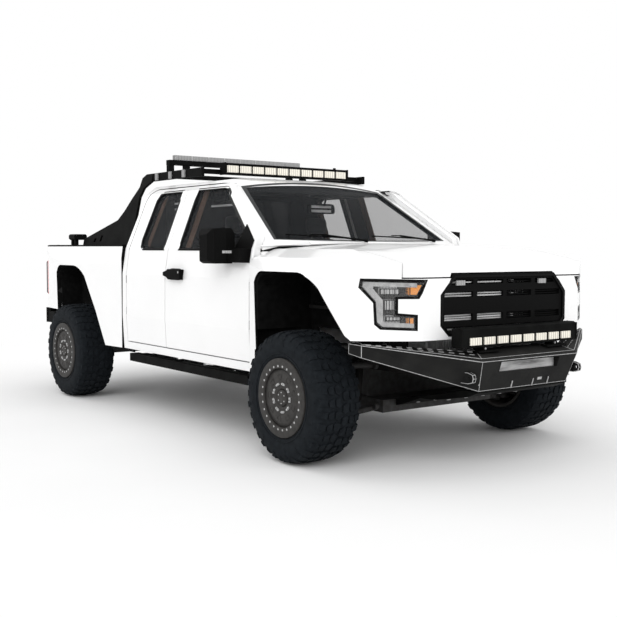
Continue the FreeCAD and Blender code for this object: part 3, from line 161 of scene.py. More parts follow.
@material
def brushed():
    s = Shade("brushed plate", grey(0.12), 0.45, metal=0.3)
    s.vary(s.noise(9, 4, (1, 0.4, 3)), grey(0.05), grey(0.55), 0.3, 0.62)
    return s.bump(s.noise(60, 2, (1, 0.05, 6)), 0.3, 0.0006)


@material
def chassis():
    s = Shade("chassis black", grey(0.006), 0.65, specular=0.15)
    return s.vary(s.noise(14), grey(0.004), grey(0.009, (1.1, 1, 0.9))).bump(s.noise(300), 0.15, 0.001)


@material
def liner():
    s = Shade("liner black", grey(0.006), 0.95, specular=0.05)
    return s.vary(s.noise(20), grey(0.004), grey(0.008)).bump(s.noise(400), 0.2, 0.001)


@material
def plastic():
    s = Shade("grained plastic", grey(0.004), 0.6, specular=0.04)
    return s.rough(s.noise(90), 0.55, 0.7).bump(s.cells(900), 0.15, 0.0005)


@material
def gloss():
    s = Shade("gloss black", grey(0.004), 0.3, specular=0.06)
    return s.rough(s.noise(30), 0.16, 0.26)


@material
def rubber():
    s = Shade("tyre rubber", grey(0.01, (0.75, 0.98, 1.25)), 0.85, specular=0.12)
    s.vary(s.noise(26), grey(0.007, (0.75, 0.98, 1.25)), grey(0.012, (0.78, 0.98, 1.2)))
    return s.rough(s.noise(120), 0.78, 0.92).bump(s.noise(900), 0.25, 0.0008)


@material
def wheel():
    warm = (1.05, 1, 0.95)
    s = Shade("wheel grey", grey(0.034, warm), 0.55, specular=0.15)
    return s.vary(s.noise(30), grey(0.028, warm), grey(0.04, warm)).bump(s.noise(700), 0.1, 0.0004)


@material
def bolt():
    s = Shade("bolt steel", grey(0.36), 0.45)
    return s.vary(s.noise(150), grey(0.32), grey(0.44))


@material
def glass():
    cold = (0.92, 1, 1.1)
    s = Shade("window glass", grey(0.03, cold), 0.04, specular=0.04, alpha=0.22)
    return s.vary(s.noise(1.5), grey(0.026, cold), grey(0.034, cold))


@material
def privacy():
    s = Shade("privacy glass", grey(0.015, (0.95, 1, 1.05)), 0.05, specular=0.2, alpha=0.93)
    return s.vary(s.noise(1.5), grey(0.012), grey(0.018))


@material
def mirror():
    s = Shade("mirror glass", grey(0.75), 0.03, metal=1.0)
    return s.vary(s.noise(3), grey(0.72), grey(0.78))


@material
def glass_edge():
    cold = (0.92, 1, 1.08)
    s = Shade("screen border", grey(0.016, cold), 0.3, specular=0.2)
    return s.vary(s.noise(4), grey(0.014, cold), grey(0.018, cold))


@material
def blank():
    s = Shade("blank plate", grey(0.75), 0.4)
    return s.vary(s.noise(12), grey(0.7), grey(0.8))


@material
def clear():
    s = Shade("clear lens", grey(0.8), 0.06, specular=0.06, alpha=0.04)
    return s.vary(s.noise(5), grey(0.75), grey(0.85))


@material
def cream():
    s = Shade("cream lens", grey(0.8, (1, 0.95, 0.82)), 0.3)
    s.vary(s.wave(16, "Y"), grey(0.55, (1, 0.95, 0.84)), grey(0.86, (1, 0.96, 0.85)), 0.1, 0.55)
    return s.bump(s.wave(16, "Y"), 0.4, 0.002)


@material
def frosted():
    s = Shade("frosted grey lens", grey(0.3), 0.35)
    return s.vary(s.wave(22, "Y", 0.4), grey(0.2), grey(0.36), 0.1, 0.7).bump(s.cells(220), 0.3, 0.0015)


@material
def bezel():
    s = Shade("light grey bezel", grey(0.3), 0.4)
    return s.vary(s.noise(24), grey(0.25), grey(0.36)).rough(s.noise(90), 0.35, 0.5)


@material
def amber():
    s = Shade("amber lens", (0.62, 0.2, 0.015, 1), 0.25)
    s.vary(s.cells(260), (0.42, 0.12, 0.01, 1), (0.7, 0.26, 0.03, 1), 0.1, 0.6)
    return s.bump(s.cells(260), 0.4, 0.0015)


@material
def silver():
    s = Shade("satin silver", grey(0.42), 0.42)
    return s.vary(s.noise(5, 3, (1, 1, 14)), grey(0.25), grey(0.62), 0.3, 0.7).rough(s.noise(60), 0.35, 0.5)


@material
def red():
    s = Shade("red lens", (0.5, 0.03, 0.03, 1), 0.2)
    s.vary(s.wave(8, "Z"), (0.38, 0.015, 0.015, 1), (0.58, 0.06, 0.06, 1))
    return s.bump(s.wave(8, "Z"), 0.3, 0.002)


@material
def cloth():
    s = Shade("seat cloth", grey(0.018), 0.9)
    s.bsdf.inputs["Sheen Weight"].default_value = 0.2
    return s.vary(s.wave(90, "DIAGONAL"), grey(0.014), grey(0.024)).bump(s.wave(90, "Z"), 0.4, 0.0008)


@material
def trim():
    s = Shade("soft trim", grey(0.014), 0.8)
    return s.vary(s.noise(8), grey(0.01), grey(0.018)).bump(s.cells(500), 0.2, 0.0006)


@material
def brown():
    s = Shade("brown pillar trim", (0.15, 0.085, 0.058, 1), 0.8)
    s.vary(s.noise(10), (0.12, 0.07, 0.047, 1), (0.17, 0.1, 0.068, 1))
    return s.bump(s.cells(420), 0.25, 0.0006)


@material
def alloy():
    s = Shade("cast alloy", grey(0.42), 0.42, metal=0.8)
    return s.vary(s.noise(30), grey(0.34), grey(0.48)).bump(s.noise(400), 0.3, 0.0008)


@material
def steel():
    s = Shade("bare steel", grey(0.2, (1, 0.95, 0.9)), 0.5, metal=0.7)
    return s.vary(s.noise(12), grey(0.14, (1, 0.92, 0.85)), grey(0.26)).bump(s.noise(300), 0.2, 0.0008)


@material
def cast():
    s = Shade("cast iron", grey(0.02), 0.65, metal=0.2)
    return s.vary(s.noise(25), grey(0.012, (1.1, 1, 0.9)), grey(0.03)).bump(s.noise(350), 0.35, 0.0012)


SLOTS = {
    "white_paint": "paint", "black_steel": "powder", "frame_black": "chassis", "black_plastic": "plastic",
    "tyre_rubber": "rubber", "wheel_grey": "wheel", "window_glass": "glass", "lamp_housing": "liner",
    "grey_lens": "frosted", "red_lens": "red", "cream_lens": "cream", "seat_cloth": "cloth",
    "dark_trim": "trim", "bare_alloy": "alloy", "bare_steel": "steel", "running_steel": "cast",
}


# Outlines
def rect(u0, v0, u1, v1):
    return [(u0, v0), (u1, v0), (u1, v1), (u0, v1)]


def angles(n):
    return [2 * pi * k / n for k in range(n)]


def oval(u, v, wide, high, n):
    return [(u + wide * cos(a), v + high * sin(a)) for a in angles(n)]


def arc(centre, radius, start, end, steps):
    turns = [start + (end - start) * k / steps for k in range(steps + 1)]
    return [(centre[0] + radius * cos(a), centre[1] + radius * sin(a)) for a in turns]


def rounded(points, radius, steps=5):
    """The outline with every corner rounded."""
    out = []
    for i, corner in enumerate(points):
        p = Vector(corner)
        a, b = Vector(points[i - 1]) - p, Vector(points[(i + 1) % len(points)]) - p
        reach = min(radius, a.length * 0.45, b.length * 0.45)
        start, end = p + a.normalized() * reach, p + b.normalized() * reach
        for t in [k / steps for k in range(steps + 1)]:
            out.append(tuple((1 - t) ** 2 * start + 2 * t * (1 - t) * p + t * t * end))
    return out


def inset(points, distance):
    """The outline moved inward, for outlines that run counter-clockwise or clockwise alike."""
    n = len(points)
    area = sum(points[i - 1][0] * points[i][1] - points[i][0] * points[i - 1][1] for i in range(n))
    side = 1 if area > 0 else -1
    out = []
    for i in range(n):
        p, before, after = Vector(points[i]), Vector(points[i - 1]), Vector(points[(i + 1) % n])
        normals = [Vector((-d.y, d.x)).normalized() * side for d in (p - before, after - p)]
        middle = (normals[0] + normals[1]).normalized()
        out.append(tuple(p + middle * distance / max(middle.dot(normals[0]), 0.4)))
    return out


def split(points, most=0.03):
    """The outline with its long sides cut into short ones, so that it can follow a curved face."""
    out = []
    for i, p in enumerate(points):
        a, c = Vector(p), Vector(points[(i + 1) % len(points)])
        n = max(1, int((c - a).length / most))
        out += [tuple(a.lerp(c, k / n)) for k in range(n)]
    return out


# Where outlines lie: each place turns (u, v, depth) into a point
def level(u, v, d):
    return u, v, d


def upright(u, v, d):
    return u, d, v


def section(u, v, d):
    return d, u, v


def facing(x, way=1):
    """A plane across the truck at x, with depth going forward or, at way -1, backward."""
    return lambda u, v, d: (x + way * d, u, v)


def cab_half(z):
    """Half width of the cab's skin at a height."""
    levels = ((0.4, 0.985), (0.78, 1.005), (1.12, 1.002), (1.322, 0.972), (1.762, 0.8), (1.825, 0.735))
    for (z0, y0), (z1, y1) in zip(levels, levels[1:]):
        if z <= z1:
            return y0 + (y1 - y0) * (z - z0) / (z1 - z0)
    return levels[-1][1]


def on_side(x, z, out):
    """Point on the right side of the cab, this far out of its skin."""
    return x, -cab_half(z) - out, z


SCREEN_RADIUS = 5.2
SLOPE = Vector((-0.741, 0, 0.44)).normalized()
SQUARE = Vector((SLOPE.z, 0, -SLOPE.x))
DRUM = Vector((-0.39, 0, 1.362)) - SQUARE * SCREEN_RADIUS


def on_screen(x, y, out):
    """Point over the windscreen at a plan position, this far out of its face."""
    q = sqrt((SCREEN_RADIUS + out) ** 2 - y * y)
    t = (x - DRUM.x - q * SQUARE.x) / SLOPE.x
    return Vector((x, y, DRUM.z + t * SLOPE.z + q * SQUARE.z))


def on_nose(y, z, out):
    """Point on the nose's skin, which curves back beside the hood and above the grille."""
    if abs(y) > 0.69:
        plan = -0.5147 + sqrt(2.25 - (min(abs(y), 1.04) + 0.0413) ** 2)
    else:
        plan = 0.795 + (0.69 ** 2 - y * y) / 24
    face = 0.815 if z < 1.085 else 0.815 - (z - 1.085) ** 2 / 0.36 - (z - 1.085) * 0.15
    return min(plan, face) + out, y, z


def on_lamp(u, v, out):
    """u and v are the lamp's own measures, from the wing's edge and the nose's foot."""
    return on_nose(u - 1.04, v + 0.8, out)


# Building pieces face by face
def bands(rings, n, closed=False, whole=True):
    """Faces between rings of n points; closed joins last ring and first, whole goes round each ring."""
    pairs = [(i, (i + 1) % rings) for i in range(rings if closed else rings - 1)]
    return [(i * n + k, i * n + (k + 1) % n, j * n + (k + 1) % n, j * n + k)
            for i, j in pairs for k in range(n if whole else n - 1)]


def caps(rings, n):
    return [tuple(range(n))[::-1], tuple(range((rings - 1) * n, rings * n))]


class Build:
    """Faces of one piece, drawn from x, and each with the key of its material."""

    def __init__(self, x=FRONT):
        self.x = x
        self.bm = bmesh.new()
        self.keys = []

    def at(self, point):
        return Vector((self.x + point[0], point[1], point[2]))

    def faces(self, points, faces, key, smooth=False):
        if key not in self.keys:
            self.keys.append(key)
        verts = [self.bm.verts.new(p) for p in points]
        for face in faces:
            made = self.bm.faces.new([verts[i] for i in face])
            made.material_index = self.keys.index(key)
            made.smooth = smooth
        return self

    def prism(self, points, place, near, far, key):
        """Outline carried from one depth to another."""
        verts = [self.at(place(u, v, d)) for d in (near, far) for u, v in points]
        return self.faces(verts, caps(2, len(points)) + bands(2, len(points)), key)

    def block(self, low, high, key):
        return self.prism(rect(low[0], low[1], high[0], high[1]), level, low[2], high[2], key)

    def frame(self, outer, inner, place, near, far, key):
        """Closed band between two outlines of as many points."""
        rings = ((outer, near), (inner, near), (inner, far), (outer, far))
        verts = [self.at(place(u, v, d)) for line, d in rings for u, v in line]
        return self.faces(verts, bands(4, len(outer), closed=True), key)

    def rim(self, outline, width, place, near, far, key):
        """Band of one width inside an outline."""
        return self.frame(outline, inset(outline, width), place, near, far, key)

    def tube(self, path, radius, key, sides=8, closed=False):
        path = [self.at(p) for p in path]
        n = len(path)
        points = []
        up = Vector((0, 0, 1))
        for i, p in enumerate(path):
            if closed:
                way = (path[(i + 1) % n] - path[i - 1]).normalized()
            else:
                way = (path[min(i + 1, n - 1)] - path[max(i - 1, 0)]).normalized()
            across = way.cross(up)
            if across.length < 1e-3:
                across = way.cross(Vector((1, 0, 0)))
            across.normalize()
            up = across.cross(way).normalized()
            points += [p + radius * (across * cos(a) + up * sin(a)) for a in angles(sides)]
        faces = bands(n, sides, closed) + ([] if closed else caps(n, sides))
        return self.faces(points, faces, key, smooth=sides > 5)

    def turned(self, profile, key, segments=64, closed=True):
        """Profile of (along Y, radius) points turned about the Y axis."""
        points = [Vector((r * sin(a), y, r * cos(a))) for a in angles(segments) for y, r in profile]
        return self.faces(points, bands(segments, len(profile), True, closed), key, smooth=True)

    def peg(self, foot, way, radius, height, key, sides=6):
        """Short bolt head or stud with a chamfered top."""
        way = Vector(way).normalized()
        side = way.orthogonal().normalized()
        other = way.cross(side)
        rings = ((radius, 0), (radius, height * 0.7), (radius * 0.85, height))
        points = [self.at(foot) + way * h + r * (side * cos(a) + other * sin(a))
                  for r, h in rings for a in angles(sides)]
        return self.faces(points, caps(3, sides) + bands(3, sides), key)

    def cushion(self, centre, size, key, turn, crown, power, rows=18):
        """Stuffed block: flat sides and crowned faces."""
        tilt = Matrix.Rotation(turn, 3, "Y")
        half = Vector(size) / 2
        points = []
        for v in [-1 + 2 * i / rows for i in range(rows + 1)]:
            waist = max((1 - abs(v) ** power) ** (1 / power) if abs(v) < 1 else 0.0, 0.02)
            for a in angles(rows * 2):
                x, z = [copysign(abs(part) ** (2 / power), part) for part in (cos(a), sin(a))]
                bulge = 1 + crown * 0.12 * (1 - v * v) * abs(z) * (1 - x * x)
                place = Vector((x * half.x * waist, v * half.y, z * half.z * waist * bulge))
                points.append(Vector(centre) + tilt @ place)
        faces = bands(rows + 1, rows * 2) + caps(rows + 1, rows * 2)
        return self.faces(points, faces, key, smooth=True)

    def mesh(self, name):
        bmesh.ops.recalc_face_normals(self.bm, faces=self.bm.faces)
        mesh = bpy.data.meshes.new(name)
        self.bm.to_mesh(mesh)
        for key in self.keys:
            mesh.materials.append(M[key])
        return mesh


def ease(obj, width):
    """Rounded edges: the mesh is welded, then bevelled."""
    weld = obj.modifiers.new("weld", "WELD")
    weld.merge_threshold = 0.00005
    bevel = obj.modifiers.new("bevel", "BEVEL")
    bevel.width = width
    bevel.segments = 2
    bevel.limit_method = "ANGLE"
    bevel.angle_limit = 0.6


def hang(name, mesh, body, slot, bevel=0.0, replaces=(), at=(0, 0, 0), turn=0.0):
    obj = bpy.data.objects.new(name, mesh)
    bpy.context.scene.collection.objects.link(obj)
    obj.location = at
    obj.rotation_euler.z = turn
    bpy.context.view_layer.update()
    if bevel:
        ease(obj, bevel)
    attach(obj, body)
    if replaces:
        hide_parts(*replaces)
    return obj


def add(name, build, body, slot, bevel=0.0):
    return hang(name, build.mesh(name), body, slot, bevel)


def both(name, build, body, slot, bevel=0.0):
    """A right-hand piece and its mirror image; {side} in names stands for the side."""
    mesh = build.mesh(name.format(side="right"))
    hang(name.format(side="right"), mesh, body.format(side="right"), slot, bevel)
    mesh = mesh.copy()
    mesh.transform(Matrix.Scale(-1, 4, (0, 1, 0)))
    mesh.flip_normals()
    hang(name.format(side="left"), mesh, body.format(side="left"), slot, bevel)


def coat(node, key):
    """The whole of a CAD node takes this finish."""
    NODES[node].data.materials.clear()
    NODES[node].data.materials.append(M[key])


def tint(node, key, test):
    """Faces of a CAD node whose centre and normal pass the test take another finish."""
    mesh = NODES[node].data
    if M[key].name not in mesh.materials:
        mesh.materials.append(M[key])
    index = list(mesh.materials).index(M[key])
    place = Matrix.Translation((-FRONT, 0, 0)) @ NODES[node].matrix_world
    for face in mesh.polygons:
        if test(place @ face.center, place.to_3x3() @ face.normal):
            face.material_index = index


for name in NODES:
    coat(name, SLOTS[NODE_SLOT[name]])


# CAD pieces that stay in view: eased edges, and finishes by zone
EASED = {
    "front_bumper": 0.003, "skid_plate": 0.003, "rear_bumper": 0.006, "chase_rack": 0.003,
    "light_bars": 0.006, "side_steps": 0.012, "rack_lamps": 0.003, "mirror_right": 0.014,
    "mirror_left": 0.014, "door_handle_right": 0.008, "door_handle_left": 0.008,
    "ladder_frame": 0.006, "front_suspension": 0.003,
    "bed_rail_caps": 0.004, "light_bar_lenses": 0.002, "grille": 0.003, "tailgate": 0.004,
    "dashboard": 0.018, "driveline": 0.012, "engine_block": 0.015, "fuel_tank": 0.025, "exhaust": 0.012,
    "radiator": 0.006, "steering_wheel": 0.002, "knuckle_right": 0.004, "knuckle_left": 0.004,
}
for name, width in EASED.items():
    ease(NODES[name], width)

# In these tests c is a face's centre, with x from the front axle, and n its normal
CABIN = Vector((-1.45, 0, 1.15))
tint("cab_body", "trim", lambda c, n: (
    n.dot(CABIN - c) > 0.02 and abs(c.y) < 0.945 and -2.4 < c.x < -0.36 and c.z > 0.605))
for side, way in SIDES.items():
    for door, pane in (("front", Vector((-1.12, 0, 1.54))), ("rear", Vector((-1.96, 0, 1.54)))):
        tint(f"door_{door}_{side}", "trim", lambda c, n: n.y * way < -0.4 and (c.z < 1.33 or c.x < -1.22))
        tint(f"door_{door}_{side}", "gloss", lambda c, n: c.z > 1.315 and abs(n.y) < 0.4 and (
            n.x * (pane.x - c.x) + n.z * (pane.z - c.z) > 0.02))
    tint(f"fender_{side}", "liner", lambda c, n: (n.y * way < 0.1 and c.z < 1.19 and abs(c.y) < 0.985) or (
        -0.53 < c.x < 0.6 and c.z < 1.185 and abs(n.y) < 0.6 and abs(c.y) < 1.05))
tint("front_panel", "liner", lambda c, n: n.x < 0.2)
tint("hood", "liner", lambda c, n: n.z < -0.3)
tint("arch_liners", "liner", lambda c, n: True)
# The black liner on the bed's forward-facing front face (last test below) is painted shade that darkens the
# gap between cab and bed; the underside and the rear arches take it as their own finish.
tint("load_bed", "liner", lambda c, n: (n.z < -0.5 and c.z < 1.2) or (
    -3.83 < c.x < -2.82 and c.z < 1.19 and abs(n.y) < 0.6 and 0.6 < abs(c.y) < 1.035) or (
    n.x > 0.9 and c.x > -2.46))
# The black liner on the cab's back face is painted shade that darkens the gap between cab and bed.
tint("cab_body", "liner", lambda c, n: n.x < -0.8 and c.x < -2.41)
tint("cab_body", "glass_edge", lambda c, n: (
    c.z > 1.3 and -1.19 < c.x < -0.4 and abs(n.dot(SQUARE)) < 0.6 and n.dot(CABIN - c) > -0.6
    and abs(n.y) < 0.99 and abs(c.y) < 0.78 - 0.24 * (c.z - 1.36)
    and -0.14 < (c - on_screen(c.x, c.y, 0)).z < 0.004))
tint("load_bed", "trim", lambda c, n: 0.84 < c.z < 1.339 and (
    (abs(c.y) < 0.9 and -4.13 < c.x < -2.46) or (n.y * c.y < -0.3 * abs(c.y) and abs(c.y) < 0.975)))
tint("tail_lamps", "plastic", lambda c, n: n.x > 0.3 or n.y * c.y < -0.5 * abs(c.y))
tint("grille_slats", "silver", lambda c, n: c.y < 0.01)
tint("grille_slats", "plastic", lambda c, n: c.y >= 0.01)
tint("light_bar_lenses", "frosted", lambda c, n: c.z > 2)
tint("rack_lamps", "plastic", lambda c, n: c.x < -3)
coat("front_bumper", "bumper")
coat("rear_glass", "privacy")


# Tyres: turned carcass with rows of blocks and side lugs
TYRE_RADIUS = 0.412
LUGS = 34
PITCH = 2 * pi * TYRE_RADIUS / LUGS
WALL = ((0.392, 0.139), (0.376, 0.15), (0.345, 0.159), (0.3, 0.1625))


def on_tread(u, v, lift):
    """u runs across, v round the tyre in metres at its face."""
    r = TYRE_RADIUS - lift - 0.02 * (abs(u) / 0.15) ** 4
    a = v / TYRE_RADIUS
    return Vector((r * sin(a), u, r * cos(a)))


def on_wall(way):
    """u is the radius, v the way round, out the height over the sidewall."""
    def place(u, v, out):
        half = WALL[-1][1]
        for (r0, y0), (r1, y1) in zip(WALL, WALL[1:]):
            if u >= r1:
                half = y0 + (y1 - y0) * (min(u, r0) - r0) / (r1 - r0)
                break
        a = v / TYRE_RADIUS
        return Vector((u * sin(a), way * min(half + out, 0.1635), u * cos(a)))
    return place


def tyre_mesh():
    b = Build(0)
    shoulder = [(0.13, 0.236), (0.15, 0.246), (0.16, 0.262), (0.1625, 0.3), (0.159, 0.345), (0.15, 0.376),
                (0.132, 0.394), (0.08, 0.3995)]
    b.turned([(-y, r) for y, r in shoulder] + [(0, 0.4005)] + shoulder[::-1], "rubber", 96)
    middle = [(0.006, 0.01), (0.034, -0.004), (0.05, 0.012), (0.046, 0.044), (0.024, 0.058), (0.006, 0.046)]
    inner = [(0.06, 0), (0.086, 0.008), (0.098, 0.02), (0.094, 0.046), (0.066, 0.052), (0.058, 0.034)]
    for k in range(LUGS):
        long_lug = k % 2 == 0
        reach, low = (0.15, 0.352) if long_lug else (0.143, 0.366)
        outer = [(0.104, 0.004), (reach, -0.002), (reach, 0.04), (0.108, 0.046)]
        lug = [(0.392, 0.002), (0.392, 0.04), (low + 0.006, 0.036), (low, 0.024), (low + 0.008, 0.008)]
        for way in WAYS:
            shift = k * PITCH + (PITCH / 2 if way > 0 else 0)
            for block, depth in ((middle, 0.016), (inner, 0.018), (outer, 0.026)):
                b.prism([(way * u, shift + v) for u, v in block], on_tread, depth, 0.0005, "rubber")
            b.prism([(r, shift + v) for r, v in lug], on_wall(way), -0.006, 0.004, "rubber")
            if long_lug:
                rib = [(0.342, 0.012), (0.342, 0.03), (0.318, 0.04), (0.318, 0.022)]
                b.prism([(r, shift + v) for r, v in rib], on_wall(way), -0.004, 0.0015, "rubber")
    for way in WAYS:
        ring = [(0.1605, 0.268), (0.1635, 0.27), (0.1635, 0.274), (0.1605, 0.276)]
        b.turned([(way * y, r) for y, r in ring], "rubber", 96)
    return b


# Wheels: bolted outer ring, flat grey disc with slots and studs, and a barrel behind
def round_disc(start, radius, face):
    """Place on the wheel's face, v metres round from a start angle at a radius; u is the radius there."""
    def place(u, v, out):
        turn = start + v / radius
        return Vector((u * sin(turn), face - out, u * cos(turn)))
    return place


def wheel_mesh():
    b = Build(0)
    ring = [(-0.1555, 0.2455), (-0.162, 0.2445), (-0.1638, 0.24), (-0.1638, 0.188), (-0.162, 0.183),
            (-0.152, 0.1815), (-0.14, 0.183), (-0.133, 0.2455)]
    disc = [(-0.15, 0.184), (-0.153, 0.15), (-0.154, 0.118), (-0.152, 0.1), (-0.15, 0.066), (-0.145, 0.052),
            (-0.125, 0.05), (-0.11, 0.06), (-0.11, 0.11), (-0.12, 0.17), (-0.125, 0.184)]
    barrel = [(-0.14, 0.233), (0.134, 0.233), (0.134, 0.244), (0.144, 0.244), (0.144, 0.219), (0.05, 0.205),
              (-0.06, 0.196), (-0.125, 0.196), (-0.133, 0.205)]
    b.turned(ring, "wheel", 96)
    b.turned(disc, "wheel", 96)
    b.turned(barrel, "wheel", 72)
    for k in range(26):
        a = 2 * pi * (k + 0.5) / 26
        b.peg((0.1965 * sin(a), -0.159, 0.1965 * cos(a)), (0, -1, 0), 0.0082, 0.0056, "bolt")
    for k in range(9):
        a = 2 * pi * k / 9 + 0.2
        on_disc = round_disc(a, 0.09, -0.153)
        for v in (-0.01, 0.01):
            b.peg(on_disc(0.0875, v, -0.002), (0, -1, 0), 0.0075, 0.0085, "bolt")
        b.rim(rect(0.08, -0.006, 0.095, 0.006), 0.002, on_disc, -0.002, 0.0035, "bolt")
        pocket = rounded([(0.112, -0.014), (0.146, -0.022), (0.146, 0.022), (0.112, 0.014)], 0.008, 3)
        b.rim(pocket, 0.003, round_disc(a + pi / 9, 0.13, -0.1532), -0.004, 0.0022, "wheel")
    cap = [(-0.13, 0), (-0.156, 0), (-0.156, 0.028), (-0.154, 0.04), (-0.15, 0.05), (-0.13, 0.0505)]
    b.turned(cap, "wheel", 40, closed=False)
    for a in angles(6):
        b.peg((0.034 * sin(a), -0.155, 0.034 * cos(a)), (0, -1, 0), 0.0045, 0.003, "bolt")
    return b


def brake_mesh():
    """Disc and caliper behind each wheel's disc."""
    b = Build(0)
    b.turned(rect(-0.045, 0.165, -0.019, 0.075), "steel", 64)
    b.turned(rect(-0.07, 0.09, -0.01, 0.062), "cast", 40)
    pad = arc((0, 0), 0.182, 0.55, 1.35, 8) + arc((0, 0), 0.118, 1.35, 0.55, 8)
    b.prism(pad, upright, -0.075, 0.01, "cast")
    return b


def wheels():
    tyre = tyre_mesh().mesh("tyre")
    rim = wheel_mesh().mesh("rim")
    brake = brake_mesh().mesh("brake")
    for end, x in (("front", 0), ("rear", REAR)):
        for side, way in SIDES.items():
            place = {"at": (FRONT + x, way * TRACK, AXLE_Z), "turn": 0.0 if way < 0 else pi}
            which = f"{end}_{side}"
            body = f"{end}_wheel_{side}"
            hang(f"tyre_tread_{which}", tyre, body, "tyre_rubber", replaces=[f"tyre_{which}"], **place)
            hang(f"wheel_{which}", rim, body, "wheel_grey", replaces=[f"rim_{which}"], **place)
            hang(f"brake_disc_{which}", brake, body, "bare_steel", **place)


# Lamps at the front
LAMP = [(0.39, 0.35), (0.062, 0.357), (0.055, 0.305), (0.118, 0.218), (0.123, 0.095), (0.15, 0.066),
        (0.328, 0.058), (0.328, 0.151), (0.232, 0.16), (0.232, 0.24), (0.334, 0.24)]


def headlamps():
    b = Build()
    b.rim(split(inset(LAMP, 0.003)), 0.01, on_lamp, -0.01, -0.001, "gloss")
    outer = [(0.326, 0.33), (0.082, 0.337), (0.076, 0.312), (0.133, 0.228), (0.138, 0.104), (0.158, 0.084),
             (0.312, 0.076)]
    inner = [(0.326, 0.306), (0.122, 0.312), (0.12, 0.3), (0.164, 0.234), (0.166, 0.118), (0.178, 0.108),
             (0.312, 0.1)]
    for k in range(6):
        quad = [outer[k], outer[k + 1], inner[k + 1], inner[k]]
        b.prism(split(quad, 0.05), on_lamp, -0.016, -0.006, "bezel")
    panes = ((0.152, 0.264, 0.243, 0.3), (0.17, 0.175, 0.221, 0.236), (0.178, 0.114, 0.25, 0.142))
    for u0, v0, u1, v1 in panes:
        quad = rect(u0, v0, u1, v1)
        b.prism(split(quad, 0.04), on_lamp, -0.02, -0.011, "frosted")
        b.rim(quad, 0.005, on_lamp, -0.014, -0.008, "plastic")
        for k in range(1, 4):
            u = u0 + (u1 - u0) * k / 4
            b.prism(rect(u - 0.001, v0 + 0.005, u + 0.001, v1 - 0.005), on_lamp, -0.012, -0.009, "gloss")
    for k in range(5):
        z = 0.268 + k * 0.013
        b.prism(rect(0.247, z, 0.284, z + 0.004), on_lamp, -0.02, -0.014, "plastic")
    for u0, v0, u1, v1, lean in ((0.292, 0.262, 0.328, 0.322, 0.03), (0.291, 0.078, 0.314, 0.134, 0)):
        quad = [(u0, v0), (u1, v0), (u1 + lean, v1), (u0, v1)]
        b.prism(quad, on_lamp, -0.02, -0.01, "amber")
        b.rim(quad, 0.0025, on_lamp, -0.012, -0.008, "gloss")
    both("lamp_inside_{side}", b, "chassis", "lamp_housing")
    b = Build().prism(split(inset(LAMP, 0.004), 0.025), on_lamp, -0.0035, -0.001, "clear")
    both("lamp_cover_{side}", b, "chassis", "grey_lens")
    coat("headlamp_units", "frosted")
    tint("headlamp_units", "amber", lambda c, n: abs(c.y) < 0.762)


def grille_details():
    b = Build()
    flat = facing(0.791)
    for y in (-0.389, 0.331):
        b.prism(rect(y - 0.034, 1.112, y + 0.034, 1.141), flat, 0, 0.012, "frosted")
    for low, high in ((1.046, 1.068), (0.908, 0.936), (1.122, 1.138)):
        b.prism(rect(0.083, low, 0.11, high), flat, -0.05, -0.028, "silver")
    mesh_back = facing(0.735)
    for k in range(15):
        z = 0.836 + k * 0.0225
        b.prism(rect(-0.5, z, 0.5, z + 0.004), mesh_back, 0, 0.006, "plastic")
    for k in range(45):
        y = -0.495 + k * 0.0225
        b.prism(rect(y, 0.832, y + 0.004, 1.155), mesh_back, 0.006, 0.01, "plastic")
    half = [(0.44, 1.17), (0.545, 1.056), (0.545, 0.886), (0.48, 0.822)]
    b.rim([(-y, z) for y, z in half[::-1]] + half, 0.012, flat, 0, 0.012, "gloss")
    add("grille_details", b, "chassis", "black_plastic", bevel=0.001)


# Bumper: pale folded edges that are a painted highlight, stitch welds, plate recess and ribs
def bumper_edge_highlights():
    """Thin pale beads let into the sharp edges of the folded plate, except round its front opening, as a
    painted highlight along the edges.
    """
    radius = 0.0024
    source = NODES["front_bumper"]
    bm = bmesh.new()
    bm.from_mesh(source.data)
    bmesh.ops.remove_doubles(bm, verts=bm.verts, dist=0.00005)
    bm.transform(Matrix.Translation((-FRONT, 0, 0)) @ source.matrix_world)
    bm.normal_update()
    b = Build()
    for line in bm.edges:
        if len(line.link_faces) != 2 or line.calc_face_angle_signed(0) < 0.45 or line.calc_length() < 0.02:
            continue
        one, two = [v.co.copy() for v in line.verts]
        middle = (one + two) / 2
        out = (line.link_faces[0].normal + line.link_faces[1].normal).normalized()
        at_opening = abs(middle.y) < 0.3 and 0.6 < middle.z < 0.68
        if middle.x > 0.5 and (out.x > 0.1 or abs(out.y) > 0.5) and not at_opening:
            sink = out * radius * 0.75
            # Pale bead sunk into the fold: a painted highlight along the edge.
            b.tube([one - sink, two - sink], radius, "edge", sides=5)
    bm.free()
    add("bumper_edge_highlights", b, "chassis", "black_steel")


